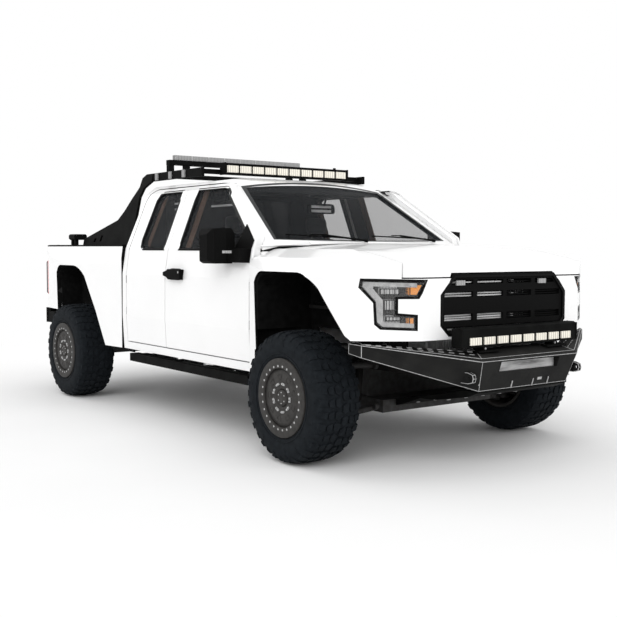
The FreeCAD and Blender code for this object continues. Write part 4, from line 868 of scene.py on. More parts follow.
def bumper_details():
    b = Build()
    lip = lambda u, v, d: (0.956 + (v - 0.504) / 0.178 * 0.054 + d, u, v)
    b.prism(rect(-0.2575, 0.6105, 0.2575, 0.6715), facing(0.9585), 0, 0.002, "brushed")
    for y in (-0.12, 0.066, 0.204):
        b.prism(rect(y - 0.0025, 0.503, y + 0.0025, 0.548), lip, -0.004, 0.0006, "edge")
    b.prism(rect(0.105, 0.536, 0.14, 0.552), lip, -0.004, 0.0006, "edge")
    for way in WAYS:
        for row in (0.25, 0.62):
            for k in range(11):
                stitch = []
                for t in (0.04 + k * 0.088, 0.085 + k * 0.088):
                    top = Vector((0.895 - 0.293 * t, way * (0.36 + 0.619 * t), 0.736 + 0.047 * t))
                    low = Vector((0.993 - 0.385 * t, way * (0.412 + 0.569 * t), 0.7 + 0.078 * t))
                    stitch.append(top.lerp(low, row) + Vector((0, 0, 0.0008)))
                b.tube(stitch, 0.0022, "edge", sides=5)
        for k in range(3):
            b.peg((0.963 + 0.012 * k, way * 0.4, 0.545 + 0.045 * k), (1, 0, -0.3), 0.006, 0.003, "edge")
    for y in (-0.3, 0.3):
        b.block((0.905, y - 0.09, 0.728), (0.952, y + 0.09, 0.7372), "powder")
    add("bumper_details", b, "chassis", "black_steel")


def lens_bars():
    """Ribbed lens inserts, end brackets and cooling fins of the lamp bars."""
    b = Build()
    for n in range(8):
        for y in [-0.442 + n * 0.114 + k * 0.017 for k in range(5)]:
            b.block((0.9405, y, 0.774), (0.9425, y + 0.012, 0.812), "cream")
    for n in range(10):
        for y in [-0.571 + n * 0.1165 + k * 0.0185 for k in range(5)]:
            b.block((-1.4815, y, 1.906), (-1.4795, y + 0.0135, 1.953), "cream")
    for y in [-0.622 + n * 0.1557 for n in range(8)]:
        b.block((-2.2085, y, 2.047), (-2.206, y + 0.148, 2.0805), "frosted")
        b.block((-2.25, y - 0.006, 2.045), (-2.205, y - 0.001, 2.0835), "silver")
    add("lens_ribs", b, "chassis", "cream_lens")
    b = Build()
    for y in [-0.5 + k * 0.0395 for k in range(26)]:
        b.block((0.853, y, 0.775), (0.863, y + 0.006, 0.862), "plastic")
    for y in [-0.575 + k * 0.0395 for k in range(30)]:
        b.block((-1.567, y, 1.905), (-1.5605, y + 0.006, 1.962), "plastic")
    for y in (-0.5165, 0.5005):
        b.block((0.855, y, 0.76), (0.936, y + 0.01, 0.866), "powder")
    for y in (-0.598, 0.588):
        b.block((-1.562, y, 1.885), (-1.484, y + 0.012, 1.978), "powder")
    for y in (-0.31, 0.31):
        b.block((0.862, y - 0.018, 0.735), (0.925, y + 0.018, 0.759), "powder")
        b.peg((0.9255, y, 0.747), (1, 0, 0), 0.007, 0.004, "bolt")
    b.peg((-1.515, 0.478, 1.975), (0, 0, 1), 0.012, 0.014, "plastic", 10)
    add("lamp_bar_fins", b, "chassis", "black_steel", bevel=0.0008)


# Windows: rubber seals, painted border of the windscreen and wipers
SILL = 1.322
FRONT_WINDOW = [(-0.59, SILL), (-0.58, 1.362), (-1.05, 1.692)] + arc((-1.15, 1.632), 0.13, 0.7, 1.571, 5) + [
    (-1.53, 1.762), (-1.53, SILL)]
REAR_WINDOW = [(-1.772, SILL), (-1.772, 1.762), (-2.075, 1.762), (-2.118, 1.746), (-2.15, 1.7),
               (-2.172, 1.392), (-2.154, 1.342), (-2.11, SILL)]


def window_seals():
    for door, line in (("front", FRONT_WINDOW), ("rear", REAR_WINDOW)):
        b = Build()
        b.rim(split(inset(line, -0.013), 0.09), 0.019, on_side, -0.004, 0.0016, "gloss")
        back, front = sorted((line[0][0], line[-1][0]))
        sill = [(back - 0.01, 1.3105), (front + 0.01, 1.3105), (front + 0.008, 1.3205),
                (back - 0.008, 1.3205)]
        b.prism(split(sill, 0.09), on_side, -0.002, 0.0042, "plastic")
        both(f"window_seal_{door}_{{side}}", b, f"{door}_door_{{side}}", "black_plastic")
    for door, band, most, depth in (
            ("rear", [(-2.166, 1.372), (-2.12, 1.335), (-2.098, 1.74), (-2.146, 1.69)], 0.06, 0.058),
            ("front", rect(-1.528, 1.33, -1.462, 1.758), 0.08, 0.06)):
        b = Build().prism(split(band, most), on_side, -depth, 0.008 - depth, "brown")
        both(f"{door}_pillar_trim_{{side}}", b, f"{door}_door_{{side}}", "dark_trim")


FOOT_X = -0.548


def screen_outline(foot_half, top_x, top_half):
    """Plan outline over the glass: bowed foot, straight sides and straight top."""
    shares = [k / 16 for k in range(17)]
    foot = [(FOOT_X + (foot_half ** 2 - y * y) / 4.6, y) for y in [foot_half * (2 * t - 1) for t in shares]]
    top = [(top_x, top_half * (1 - 2 * t)) for t in shares]
    left = []
    for t in shares[2:-2:2]:
        left.append((FOOT_X + (top_x - FOOT_X) * t, foot_half + (top_half - foot_half) * t))
    return foot + left + top + [(x, -y) for x, y in left[::-1]]


def screen_border():
    b = Build()
    outer, inner = screen_outline(0.79, -1.17, 0.655), screen_outline(0.77, -1.15, 0.626)
    b.frame(outer, inner, on_screen, 0.0003, 0.0022, "glass_edge")
    add("windscreen_border", b, "chassis", "black_plastic")

    def over_foot(x, y, out):
        """Point over the glass at an x given at the foot's corner, so that lines follow the bowed foot."""
        return on_screen(x + (0.8 ** 2 - y ** 2) / 4.72, y, out)

    b = Build()
    for start, end in ((0.6, 0.02), (-0.12, -0.66)):
        pivot = over_foot(-0.52, start, 0.02)
        tip = over_foot(-0.59, end, 0.016)
        middle = over_foot(-0.57, start * 0.4 + end * 0.6, 0.026)
        b.tube([pivot, pivot.lerp(middle, 0.5), middle], 0.0065, "plastic")
        blade = []
        for t in [k / 10 for k in range(11)]:
            blade.append(over_foot(-0.56 - 0.035 * t, start + (end - start) * (0.1 + 0.95 * t), 0.011))
        b.tube(blade, 0.005, "plastic", sides=6)
        b.tube([middle, tip.lerp(middle, 0.65)], 0.0045, "plastic", sides=6)
        b.peg(pivot - Vector((0, 0, 0.01)), (0.3, 0, 1), 0.014, 0.02, "plastic", 12)
    add("wipers", b, "chassis", "black_plastic")


def mirrors():
    b = Build()
    shell = rounded([(-1.155, 1.255), (-0.945, 1.255), (-0.935, 1.462), (-1.15, 1.462)], 0.03)
    b.prism(inset(shell, 0.004), facing(-0.8855), 0, 0.008, "plastic")
    b.prism(inset(shell, 0.012), facing(-0.8855), -0.0012, 0.002, "mirror")
    b.prism(rect(-1.152, 1.294, -1.096, 1.311),
            lambda u, v, d: (-0.6 + d + 0.1 * (u + 1.15), u, v), -0.02, 0, "frosted")
    both("mirror_glass_{side}", b, "front_door_{side}", "black_plastic")
    b = Build()
    for x in (-1.64, -1.447):
        b.peg((x, -1.0375, 1.1325), (0, -1, 0), 0.006, 0.0008, "plastic", 10)
    b.rim(rounded(rect(-1.64, 1.09, -1.445, 1.176), 0.04), 0.008, on_side, -0.002, 0.0012, "gloss")
    b.peg((-1.432, -1.0372, 1.15), (0, -1, 0), 0.008, 0.001, "bolt", 14)
    both("handle_escutcheon_{side}", b, "front_door_{side}", "black_plastic")


# Cabin
SEAT_Y = 0.39
FLOOR = 0.617


def stuffed(build, cap, voxel=0.015, frames=16):
    """Foam-filled cover: the shape swells under cloth, by no more than the cap."""
    bmesh.ops.recalc_face_normals(build.bm, faces=build.bm.faces)
    mesh = bpy.data.meshes.new("pad")
    build.bm.to_mesh(mesh)
    obj = bpy.data.objects.new("pad", mesh)
    scene = bpy.context.scene
    scene.collection.objects.link(obj)
    remesh = obj.modifiers.new("remesh", "REMESH")
    remesh.mode = "VOXEL"
    remesh.voxel_size = voxel

    def baked():
        bpy.context.view_layer.update()
        graph = bpy.context.evaluated_depsgraph_get()
        return bpy.data.meshes.new_from_object(obj.evaluated_get(graph))

    start = baked()
    obj.modifiers.clear()
    obj.data = start
    cloth = obj.modifiers.new("cloth", "CLOTH")
    cloth.settings.use_pressure = True
    cloth.settings.uniform_pressure_force = 4
    cloth.settings.effector_weights.gravity = 0
    cloth.settings.quality = 5
    rest = [v.co.copy() for v in start.vertices]
    for frame_no in range(1, frames + 1):
        scene.frame_set(frame_no)
    puffed = baked()
    obj.modifiers.clear()
    for v, was in zip(puffed.vertices, rest):
        move = v.co - was
        if move.length > cap:
            v.co = was + move.normalized() * cap
    obj.data = puffed
    scene.frame_set(1)
    obj.modifiers.new("smooth", "SUBSURF").levels = 1
    final = baked()
    bpy.data.objects.remove(obj)
    for face in final.polygons:
        face.use_smooth = True
    return final


def tailored(mesh, centre, turn, size, lines, bolster):
    """Side bolsters and sewn channels on the seating face, which looks along local +z."""
    tilt = Matrix.Rotation(turn, 3, "Y")
    back = tilt.transposed()
    for v in mesh.vertices:
        p = back @ (v.co - centre)
        if p.z < 0:
            continue
        u, w = p.x / (size[0] / 2), p.y / (size[1] / 2)
        ridge = bolster * max(0.0, 1 - ((abs(w) - 0.78) / 0.2) ** 2)
        groove = sum(exp(-(((u if along == "x" else w) - at) / width) ** 2) for along, at, width in lines)
        p.z += (ridge - 0.007 * min(groove, 1)) * max(0.0, 1 - u ** 6) * min(1, p.z / (size[2] * 0.3))
        v.co = centre + tilt @ p
    mesh.update()


def padded_piece(name, centre, size, turn, lines, bolster=0.0, replaces=(), pair=False, power=5.0):
    """Cushion at its own x; a pair has its left one at the same distance from the middle."""
    centre = Vector((FRONT + centre[0], centre[1], centre[2]))
    start = (size[0] * 0.965, size[1] * 0.97, size[2] * 0.88)
    shape = Build().cushion(centre, start, "cloth", turn, 0.5, power)
    mesh = stuffed(shape, 0.012)
    tailored(mesh, centre, turn, size, lines, bolster)
    mesh.materials.clear()
    mesh.materials.append(M["cloth"])
    hang(name, mesh, "chassis", "seat_cloth", replaces=replaces)
    if pair:
        copy = mesh.copy()
        copy.transform(Matrix.Translation((0, -2 * centre.y, 0)))
        hang(name + "_left", copy, "chassis", "seat_cloth")


def seats():
    padded_piece("seat_cushion", (-1.355, -SEAT_Y, 0.908), (0.465, 0.496, 0.108), 0.0,
                 (("y", -0.56, 0.05), ("y", 0.56, 0.05), ("x", 0.2, 0.05), ("x", -0.35, 0.05)), 0.01,
                 ["front_seats"], pair=True)
    padded_piece("seat_backrest", (-1.585, -SEAT_Y, 1.192), (0.485, 0.476, 0.1), pi / 2 - 0.247,
                 (("y", -0.54, 0.05), ("y", 0.54, 0.05), ("x", 0.1, 0.04), ("x", -0.4, 0.04)), 0.008,
                 pair=True)
    padded_piece("head_rest", (-1.646, -SEAT_Y, 1.515), (0.135, 0.216, 0.074), pi / 2 - 0.15,
                 (("x", 0.0, 0.08),), pair=True)
    padded_piece("bench_cushion", (-2.04, 0.0, 0.9), (0.378, 1.59, 0.116), 0.0,
                 (("y", -0.36, 0.016), ("y", 0.36, 0.016), ("x", 0.3, 0.06)), 0.0, ["rear_seat"], power=7.0)
    padded_piece("bench_backrest", (-2.272, 0.0, 1.19), (0.455, 1.55, 0.092), pi / 2 - 0.076,
                 (("y", -0.36, 0.016), ("y", 0.36, 0.016), ("x", 0.25, 0.05)), power=7.0)
    b = Build()
    for way in WAYS:
        y = way * SEAT_Y
        shell = [(-1.535, 0.7), (-1.155, 0.7), (-1.125, 0.838), (-1.165, 0.85), (-1.53, 0.85), (-1.56, 0.8)]
        b.prism(shell, upright, y - 0.215, y + 0.215, "plastic")
        for rail in (y - 0.185, y + 0.185):
            b.block((-1.56, rail - 0.02, FLOOR), (-1.12, rail + 0.02, 0.64), "cast")
            b.block((-1.52, rail - 0.014, 0.64), (-1.16, rail + 0.014, 0.702), "cast")
        for post in (y - 0.055, y + 0.055):
            b.tube([(-1.632, post, 1.41), (-1.642, post, 1.47)], 0.006, "steel")
        b.peg((-1.515, y - 0.233, 0.9), (0, -1, 0), 0.028, 0.012, "plastic", 16)
        buckle_y = way * 0.125
        b.tube([(-1.5, buckle_y, 0.86), (-1.48, buckle_y, 0.95)], 0.009, "plastic")
        b.block((-1.495, buckle_y - 0.013, 0.945), (-1.455, buckle_y + 0.013, 1), "red")
    add("seat_frames", b, "chassis", "black_plastic", bevel=0.004)
    b = Build()
    b.prism([(-2.225, FLOOR), (-1.875, FLOOR), (-1.862, 0.84), (-2.225, 0.84)], upright, -0.79, 0.79, "trim")
    for y in (-0.4, 0.4):
        b.block((-1.874, y - 0.3, 0.66), (-1.866, y + 0.3, 0.8), "plastic")
    add("bench_box", b, "chassis", "dark_trim", bevel=0.006)


def on_dash(u, v, d):
    """Place on the dashboard's face, which leans back below z 1.18 and forward above it."""
    return -0.905 + (1.18 - v) * 0.3 * (1 if v < 1.18 else -1.36) - d, u, v


def low_dash(u, v, d):
    return -0.905 + (1.18 - v) * 0.295 - d, u, v


def dash_and_console():
    b = Build()
    hood = [(-0.7, 1.3), (-0.86, 1.284), (-0.905, 1.262), (-0.9, 1.3), (-0.86, 1.322), (-0.72, 1.33)]
    b.prism(hood, upright, 0.17, 0.6, "trim")
    for y in (0.315, 0.455):
        dial = oval(y, 1.225, 0.052, 0.04, 24)
        b.rim(dial, 0.006, on_dash, 0, 0.01, "silver")
        b.prism(inset(dial, 0.006), on_dash, 0, 0.004, "gloss")
        needle = [(y - 0.002, 1.225), (y + 0.002, 1.225), (y + 0.028, 1.252), (y + 0.025, 1.254)]
        b.prism(needle, on_dash, 0.004, 0.006, "amber")
    screen = rect(-0.13, 1.15, 0.13, 1.25)
    b.rim(screen, 0.009, on_dash, -0.01, 0.012, "plastic")
    b.prism(inset(screen, 0.009), on_dash, -0.01, 0.009, "gloss")
    for y in (-0.76, -0.22, 0.19, 0.76):
        b.rim(rect(y - 0.045, 1.19, y + 0.045, 1.24), 0.005, on_dash, -0.01, 0.01, "silver")
        for z in [1.199 + k * 0.0105 for k in range(4)]:
            b.prism(rect(y - 0.038, z, y + 0.038, z + 0.003), on_dash, 0, 0.007, "plastic")
    b.prism(rect(-0.72, 1, -0.28, 1.13), low_dash, 0, 0.005, "trim")
    b.prism(rect(-0.54, 1.098, -0.46, 1.112), low_dash, 0.004, 0.01, "silver")
    for k in range(3):
        for y in (-0.07, 0.0, 0.07):
            b.peg(low_dash(y, 1.115 - 0.034 * k, 0), (-1, 0, -0.3), 0.011, 0.01, "plastic", 14)
    console = [(-0.72, FLOOR), (-0.8, 0.9), (-0.98, 0.83), (-1.62, 0.83), (-1.66, 0.8), (-1.66, FLOOR)]
    b.prism(console, upright, -0.115, 0.115, "trim")
    b.block((-1.64, -0.105, 0.83), (-1.32, 0.105, 0.905), "trim")
    b.tube([(-0.98, 0, 0.83), (-0.99, 0, 0.93)], 0.01, "steel")
    b.peg((-0.99, 0, 0.925), (-0.1, 0, 1), 0.026, 0.05, "plastic", 12)
    for y, wide in ((0.3, 0.035), (0.46, 0.06)):
        b.prism(rect(y - wide, 0.69, y + wide, 0.79),
                lambda u, v, d: (-0.775 - 0.5 * (0.8 - v) - d, u, v), 0, 0.012, "plastic")
        b.tube([(-0.78, y, 0.76), (-0.74, y, 0.92)], 0.008, "cast")
    add("dash_and_console", b, "chassis", "dark_trim", bevel=0.003)


def floor_mats():
    b = Build()
    for way in WAYS:
        b.prism(rounded(rect(-1.1, way * 0.12, -0.75, way * 0.84), 0.05), level, 0.611, 0.621, "trim")
        for x in [-1.07 + 0.036 * k for k in range(9)]:
            b.block((x, way * 0.48 - 0.3, 0.6205), (x + 0.012, way * 0.48 + 0.3, 0.6235), "plastic")
    add("floor_mats", b, "chassis", "dark_trim")


def rear_view_mirror():
    """Inner mirror with its stalk and two silver strips on its back as painted glints, and the sun visors
    beside it.
    """
    b = Build()
    back = rounded([(-0.13, 1.59), (0.13, 1.59), (0.12, 1.665), (-0.12, 1.665)], 0.03)
    place = lambda u, v, d: (-1.045 - d - 0.1 * abs(u), u, v)
    b.prism(back, place, 0, 0.026, "plastic")
    b.prism(inset(back, 0.006), place, 0.026, 0.028, "mirror")
    # Two silver strips on the mirror's back, facing the windscreen: painted glints.
    for z in (1.6, 1.632):
        b.prism(rect(-0.1, z, 0.085, z + 0.019), place, -0.003, 0, "silver")
    b.tube([(-1.03, 0, 1.65), (-1.01, 0, 1.69), (-1.005, 0, 1.702)], 0.008, "plastic")
    visor = rounded([(-1.42, 0.14), (-1.22, 0.12), (-1.22, 0.52), (-1.42, 0.5)], 0.03)
    for way in WAYS:
        b.prism([(x, way * y) for x, y in visor], level, 1.73, 1.748, "trim")
    add("rear_view_mirror", b, "chassis", "black_plastic")


def grips_painted_as_light_streaks():
    b = Build()
    for x0, x1, z in ((-1.4, -1.1, 1.63), (-1.96, -1.76, 1.625), (-1.96, -1.8, 1.668)):
        # The silver grip bars hang in the side windows as painted highlights: they stand in for pale streaks
        # of light seen through the glass.
        b.prism(rect(x0, z, x1, z + 0.014), upright, -0.772, -0.756, "silver")
        if z < 1.64:
            for x in (x0 + 0.005, x0 + 0.18):
                b.block((x, -0.77, z), (x + 0.014, -0.756, 1.775), "plastic")
    add("grips_painted_as_light_streaks", b, "chassis", "dark_trim", bevel=0.002)


def door_cards():
    for door, x0, x1 in (("front", -1.655, -0.995), ("rear", -2.32, -1.735)):
        b = Build()
        inside = lambda u, v, d: (u, -0.9345 + d, v)
        card = rounded([(x0, 0.625), (x1, 0.625), (x1 - 0.01, 1.29), (x0 + 0.01, 1.29)], 0.05)
        b.prism(card, inside, 0, 0.014, "trim")
        pocket = [(x0 + 0.05, 0.66), (x1 - 0.06, 0.66), (x1 - 0.06, 0.84), (x0 + 0.05, 0.8)]
        b.prism(rounded(pocket, 0.04), inside, 0.012, 0.034, "plastic")
        rest = [(x0 + 0.05, 0.96), (x1 - 0.08, 0.96), (x1 - 0.08, 1.035), (x0 + 0.05, 1.01)]
        b.prism(rounded(rest, 0.03), inside, 0.012, 0.046, "trim")
        middle = (x0 + x1) / 2
        pull = [(middle + 0.12, 1.03, 0.028), (middle + 0.13, 1.11, 0.036), (middle + 0.1, 1.16, 0.028)]
        b.tube([inside(*p) for p in pull], 0.01, "plastic")
        speaker = oval(middle + 0.14, 0.75, 0.06, 0.06, 24)
        b.rim(speaker, 0.006, inside, 0.033, 0.038, "silver")
        b.prism(inset(speaker, 0.006), inside, 0.033, 0.036, "liner")
        b.prism(rect(middle - 0.06, 1.14, middle + 0.03, 1.165), inside, 0.012, 0.026, "silver")
        both(f"door_card_{door}_{{side}}", b, f"{door}_door_{{side}}", "dark_trim", bevel=0.003)


def steering_details():
    """The wheel's pad, spokes and grips, square to the steering column."""
    b = Build()
    axis = Vector((-0.917, 0, 0.399)).normalized()
    up = Vector((0.399, 0, 0.917)).normalized()
    across = Vector((0, 1, 0))
    centre = Vector((-0.985, 0.385, 1.19))
    place = lambda u, v, d: centre + across * u + up * v + axis * d
    pad = rounded([(-0.075, 0.045), (-0.055, -0.06), (0.055, -0.06), (0.075, 0.045)], 0.03)
    b.prism(pad, place, -0.03, 0.016, "trim")
    for way in WAYS:
        spoke = [(way * 0.06, 0.022), (way * 0.172, 0.012), (way * 0.172, -0.012), (way * 0.06, -0.026)]
        b.prism(spoke, place, -0.012, 0.008, "plastic")
        for k in range(2):
            b.peg(place(way * (0.095 + 0.028 * k), -0.002, 0.007), axis, 0.009, 0.005, "silver", 12)
    low_spoke = [(-0.022, -0.05), (0.022, -0.05), (0.014, -0.172), (-0.014, -0.172)]
    b.prism(low_spoke, place, -0.012, 0.008, "silver")
    for start in (0.15, 2.42):
        grip = [place(u, v, 0) for u, v in arc((0, 0), 0.182, start, start + 0.58, 6)]
        b.tube(grip, 0.0155, "trim", sides=10)
    add("steering_pad", b, "steering", "dark_trim", bevel=0.003)


# Load bed, tailgate and rear end
HALF_TURN = [pi * k / 8 for k in range(9)]


def bed_ribs():
    b = Build()
    for y in [-0.72 + 0.12 * k for k in range(13)]:
        rib = [(y - 0.03, 0.85), (y - 0.022, 0.857), (y + 0.022, 0.857), (y + 0.03, 0.85)]
        b.prism(rib, section, -4.06, -2.56, "liner")
    for x in (-2.62, -4):
        for way in WAYS:
            y = way * 0.905
            b.block((x - 0.03, y - 0.006, 1.135), (x + 0.03, y + 0.006, 1.225), "plastic")
            loop = [(x + 0.03 * cos(a), y - way * (0.008 + 0.03 * max(0, sin(a))), 1.16 + 0.02 * cos(a * 2))
                    for a in HALF_TURN]
            b.tube(loop, 0.005, "steel")
    b.block((-2.53, -0.8, 0.9), (-2.512, 0.8, 0.915), "plastic")
    add("bed_ribs", b, "chassis", "black_plastic")


def rail_cap_edges():
    b = Build()
    cap = [(-4.128, 0.892), (-2.455, 0.892), (-2.455, 0.978), (-4.06, 0.978), (-4.128, 0.95)]
    for way in WAYS:
        b.rim([(x, way * y) for x, y in cap], 0.014, level, 1.3515, 1.3545, "plastic")
        b.peg((-3.95, way * 0.935, 1.352), (0, 0, 1), 0.012, 0.004, "plastic", 12)
    add("rail_cap_edges", b, "chassis", "black_plastic")


def sill_flaps():
    """Seam between cab and bed with a dark strip of painted shade inside it, and the flap under it."""
    b = Build()
    # Dark strip set inside the gap between cab and bed: painted shade.
    b.prism(split(rect(-2.437, 0.62, -2.431, 1.3), 0.1), on_side, -0.045, -0.03, "liner")
    b.block((-2.69, -0.985, 0.486), (-2.26, -0.975, 0.507), "plastic")
    for x in (-2.516, -2.348):
        b.block((x - 0.008, -0.984, 0.5), (x + 0.008, -0.97, 0.54), "plastic")
    both("sill_flap_{side}", b, "chassis", "black_plastic")


def tailgate_details():
    b = Build()
    rear = facing(-4.1405, -1)
    b.rim(rounded(rect(-0.69, 0.862, 0.69, 1.205), 0.05), 0.016, rear, -0.002, 0.004, "paint")
    b.rim(rounded(rect(-0.56, 0.905, 0.56, 1.06), 0.03), 0.01, rear, -0.002, 0.003, "paint")
    b.prism(rect(-0.742, 1.3, 0.742, 1.338), rear, -0.002, 0.006, "plastic")
    pull = rounded(rect(-0.115, 1.105, 0.115, 1.18), 0.02)
    b.rim(pull, 0.01, rear, -0.002, 0.007, "gloss")
    b.prism(inset(pull, 0.01), rear, -0.002, 0.0006, "liner")
    b.prism(rounded(rect(-0.1, 1.136, 0.1, 1.168), 0.012), rear, 0, 0.006, "plastic")
    b.peg(rear(0, 1.118, 0.001), (-1, 0, 0), 0.008, 0.004, "gloss", 14)
    for y in (-0.739, 0.739):
        b.block((-4.1, y - 0.003, 1.2), (-4.09, y + 0.003, 1.26), "steel")
    for z in [0.92 + 0.095 * k for k in range(4)]:
        b.prism(rect(-0.66, z, 0.66, z + 0.045), facing(-4.0815), -0.002, 0.004, "trim")
    add("tailgate_details", b, "tailgate", "white_paint", bevel=0.002)


def tail_lamp_details():
    b = Build()
    rear = lambda u, v, d: (-4.1385 + 0.25 * max(0, abs(u) - 0.9) - d, u, v)
    whole = split(rounded(rect(-0.985, 0.892, -0.776, 1.202), 0.02, 3), 0.05)
    b.rim(whole, 0.008, rear, -0.004, 0.002, "gloss")
    clear = split(rect(-0.955, 1.015, -0.8, 1.078), 0.04)
    b.prism(clear, rear, -0.004, 0.0035, "bezel")
    b.rim(clear, 0.004, rear, -0.004, 0.005, "red")
    for z in (0.925, 1.11):
        for y in [-0.945 + 0.033 * k for k in range(5)]:
            b.prism(rounded(rect(y, z, y + 0.024, z + 0.06), 0.006, 2), rear, -0.004, 0.0016, "red")
    both("tail_lamp_lens_{side}", b, "chassis", "red_lens")


def rear_end():
    """Blank plate, step pads, lamps and hitch of the rear bumper."""
    b = Build()
    back, dent = facing(-4.25), facing(-4.0495, -1)
    plate = rounded(rect(-0.155, 0.634, 0.155, 0.742), 0.012)
    b.prism(plate, dent, -0.002, 0.006, "plastic")
    b.prism(inset(plate, 0.008), dent, 0.006, 0.0075, "blank")
    for y in (-0.1, 0.1):
        b.peg(dent(y, 0.728, 0.007), (-1, 0, 0), 0.006, 0.003, "bolt")
    pad = [(-4.235, 0.2), (-4.235, 0.83), (-4.205, 0.9), (-4.15, 0.93), (-4.15, 0.2)]
    for way in WAYS:
        b.prism([(x, way * y) for x, y in pad], level, 0.7515, 0.7555, "plastic")
        for y in [way * (0.235 + 0.043 * k) for k in range(14)]:
            b.block((-4.228, y - 0.006, 0.755), (-4.158, y + 0.006, 0.758), "plastic")
        lamp = rect(way * 0.555, 0.66, way * 0.7, 0.7)
        b.rim(lamp, 0.005, back, 0, 0.004, "gloss")
        b.prism(inset(lamp, 0.005), back, 0.0005, 0.004, "frosted")
        for y in (0.3, 0.4, 0.5):
            b.peg(back(way * y, 0.635, 0.002), (-1, 0, 0), 0.008, 0.002, "bolt", 12)
    b.rim(rect(-0.038, 0.56, 0.038, 0.612), 0.009, section, -4.19, -3.98, "powder")
    for way in WAYS:
        loop = [(-4.16 - 0.022 * sin(a), way * (0.072 + 0.024 * cos(a)), 0.59) for a in HALF_TURN]
        b.tube(loop, 0.007, "powder")
    b.block((-4.1, -0.3, 0.575), (-4.05, 0.3, 0.611), "powder")
    add("rear_bumper_details", b, "chassis", "black_steel", bevel=0.0015)


# Under the body
def coil_overs():
    """Front springs and dampers round their struts."""
    b = Build()
    foot, head = Vector((0, -0.64, 0.285)), Vector((0, -0.585, 0.7))
    way = (head - foot).normalized()
    side = Vector((1, 0, 0))
    other = way.cross(side)
    steps, per_step = 182, 0.2244
    coil = []
    for k in range(steps + 1):
        a = k * per_step
        coil.append(foot.lerp(head, 0.06 + 0.8 * k / steps) + 0.0645 * (side * cos(a) + other * sin(a)))
    b.tube(coil, 0.0085, "chassis", sides=7)
    b.peg(foot.lerp(head, 0.03), way, 0.07, 0.02, "chassis", 20)
    b.peg(foot.lerp(head, 0.88), way, 0.068, 0.03, "chassis", 20)
    b.tube([(0.105, -0.6, 0.36), (0.105, -0.58, 0.58)], 0.026, "chassis", sides=14)
    for x in (-0.19, 0.19):
        for z in (0.33, 0.59):
            b.peg((x, -0.512, z), (0, -1, 0), 0.024, 0.02, "cast", 12)
    both("coil_over_{side}", b, "chassis", "running_steel")


def joint_nuts():
    b = Build()
    for x in (-0.06, 0, 0.06):
        b.peg((x, -0.8705, 0.5635), (0, 0, 1), 0.01, 0.006, "bolt")
    both("joint_nuts_{side}", b, "chassis", "running_steel")


def underbody_fittings():
    """U-bolts, cover bolts and damper sleeves of the rear axle, and collars, straps and clamps."""
    b = Build()
    u_bolt = [(-0.04, 0.5), (-0.04, 0.44), (-0.034, 0.418), (0.034, 0.418), (0.04, 0.44), (0.04, 0.5)]
    for middle in (-0.54, 0.54):
        for x in (REAR - 0.045, REAR + 0.045):
            b.tube([(x, middle + y, z) for y, z in u_bolt], 0.007, "steel")
        for x in (REAR - 0.44, REAR + 0.44):
            b.block((x - 0.02, middle - 0.036, 0.535), (x + 0.02, middle + 0.036, 0.6), "cast")
    for y, z in oval(0, AXLE_Z, 0.092, 0.092, 12):
        b.peg((REAR - 0.128, y, z), (-1, 0, 0), 0.0075, 0.026, "bolt")
    for y in (-0.56, 0.56):
        low, high = Vector((REAR - 0.06, y, AXLE_Z)), Vector((REAR - 0.17, y, 0.7))
        b.tube([low.lerp(high, 0.12), low.lerp(high, 0.55)], 0.036, "alloy", sides=16)
        b.tube([low.lerp(high, 0.55), low.lerp(high, 0.6)], 0.039, "cast", sides=16)
    for x in (REAR + 0.25, -1.55):
        b.tube([(x, 0, 0.43), (x + 0.045, 0, 0.43)], 0.052, "steel", sides=18)
    for x in (-1.62, -2.02, -2.24):
        b.tube([(x, 0.16, 0.58), (x, 0.18, 0.393), (x, 0.435, 0.393), (x, 0.44, 0.58)], 0.006, "steel")
    for x in (-1.35, -1.75, -2.52, -2.98):
        b.tube([(x, y, z) for y, z in oval(-0.3, 0.43, 0.0365, 0.0365, 16)], 0.005, "steel", closed=True)
    b.tube([(-4.04, -0.33, 0.56), (-3.94, -0.33, 0.56)], 0.0375, "steel", sides=20)
    add("underbody_fittings", b, "chassis", "running_steel")


def step_treads():
    """Treads and brackets' bolts of the side steps, and the skid plate's bolts."""
    b = Build()
    for way in WAYS:
        for x in [-2.2 + 0.14 * k for k in range(12)]:
            b.block((x, way * 0.945 - 0.045, 0.4795), (x + 0.1, way * 0.945 + 0.045, 0.4825), "plastic")
        b.tube([(-1.43, way * 0.9995, 0.4885), (-0.63, way * 0.9995, 0.4885)], 0.005, "powder")
        for x in (-2.1, -1.45, -0.8):
            for y in (0.56, 0.62):
                b.peg((x, way * y, 0.4175), (0, 0, -1), 0.009, 0.006, "bolt")
    for y in [-0.3 + 0.15 * k for k in range(5)]:
        for x in (0.35, 0.62):
            b.peg((x, y, 0.34 + (x - 0.24) * 0.18), (0.2, 0, -1), 0.012, 0.005, "bolt", 10)
    add("step_treads", b, "chassis", "black_steel")


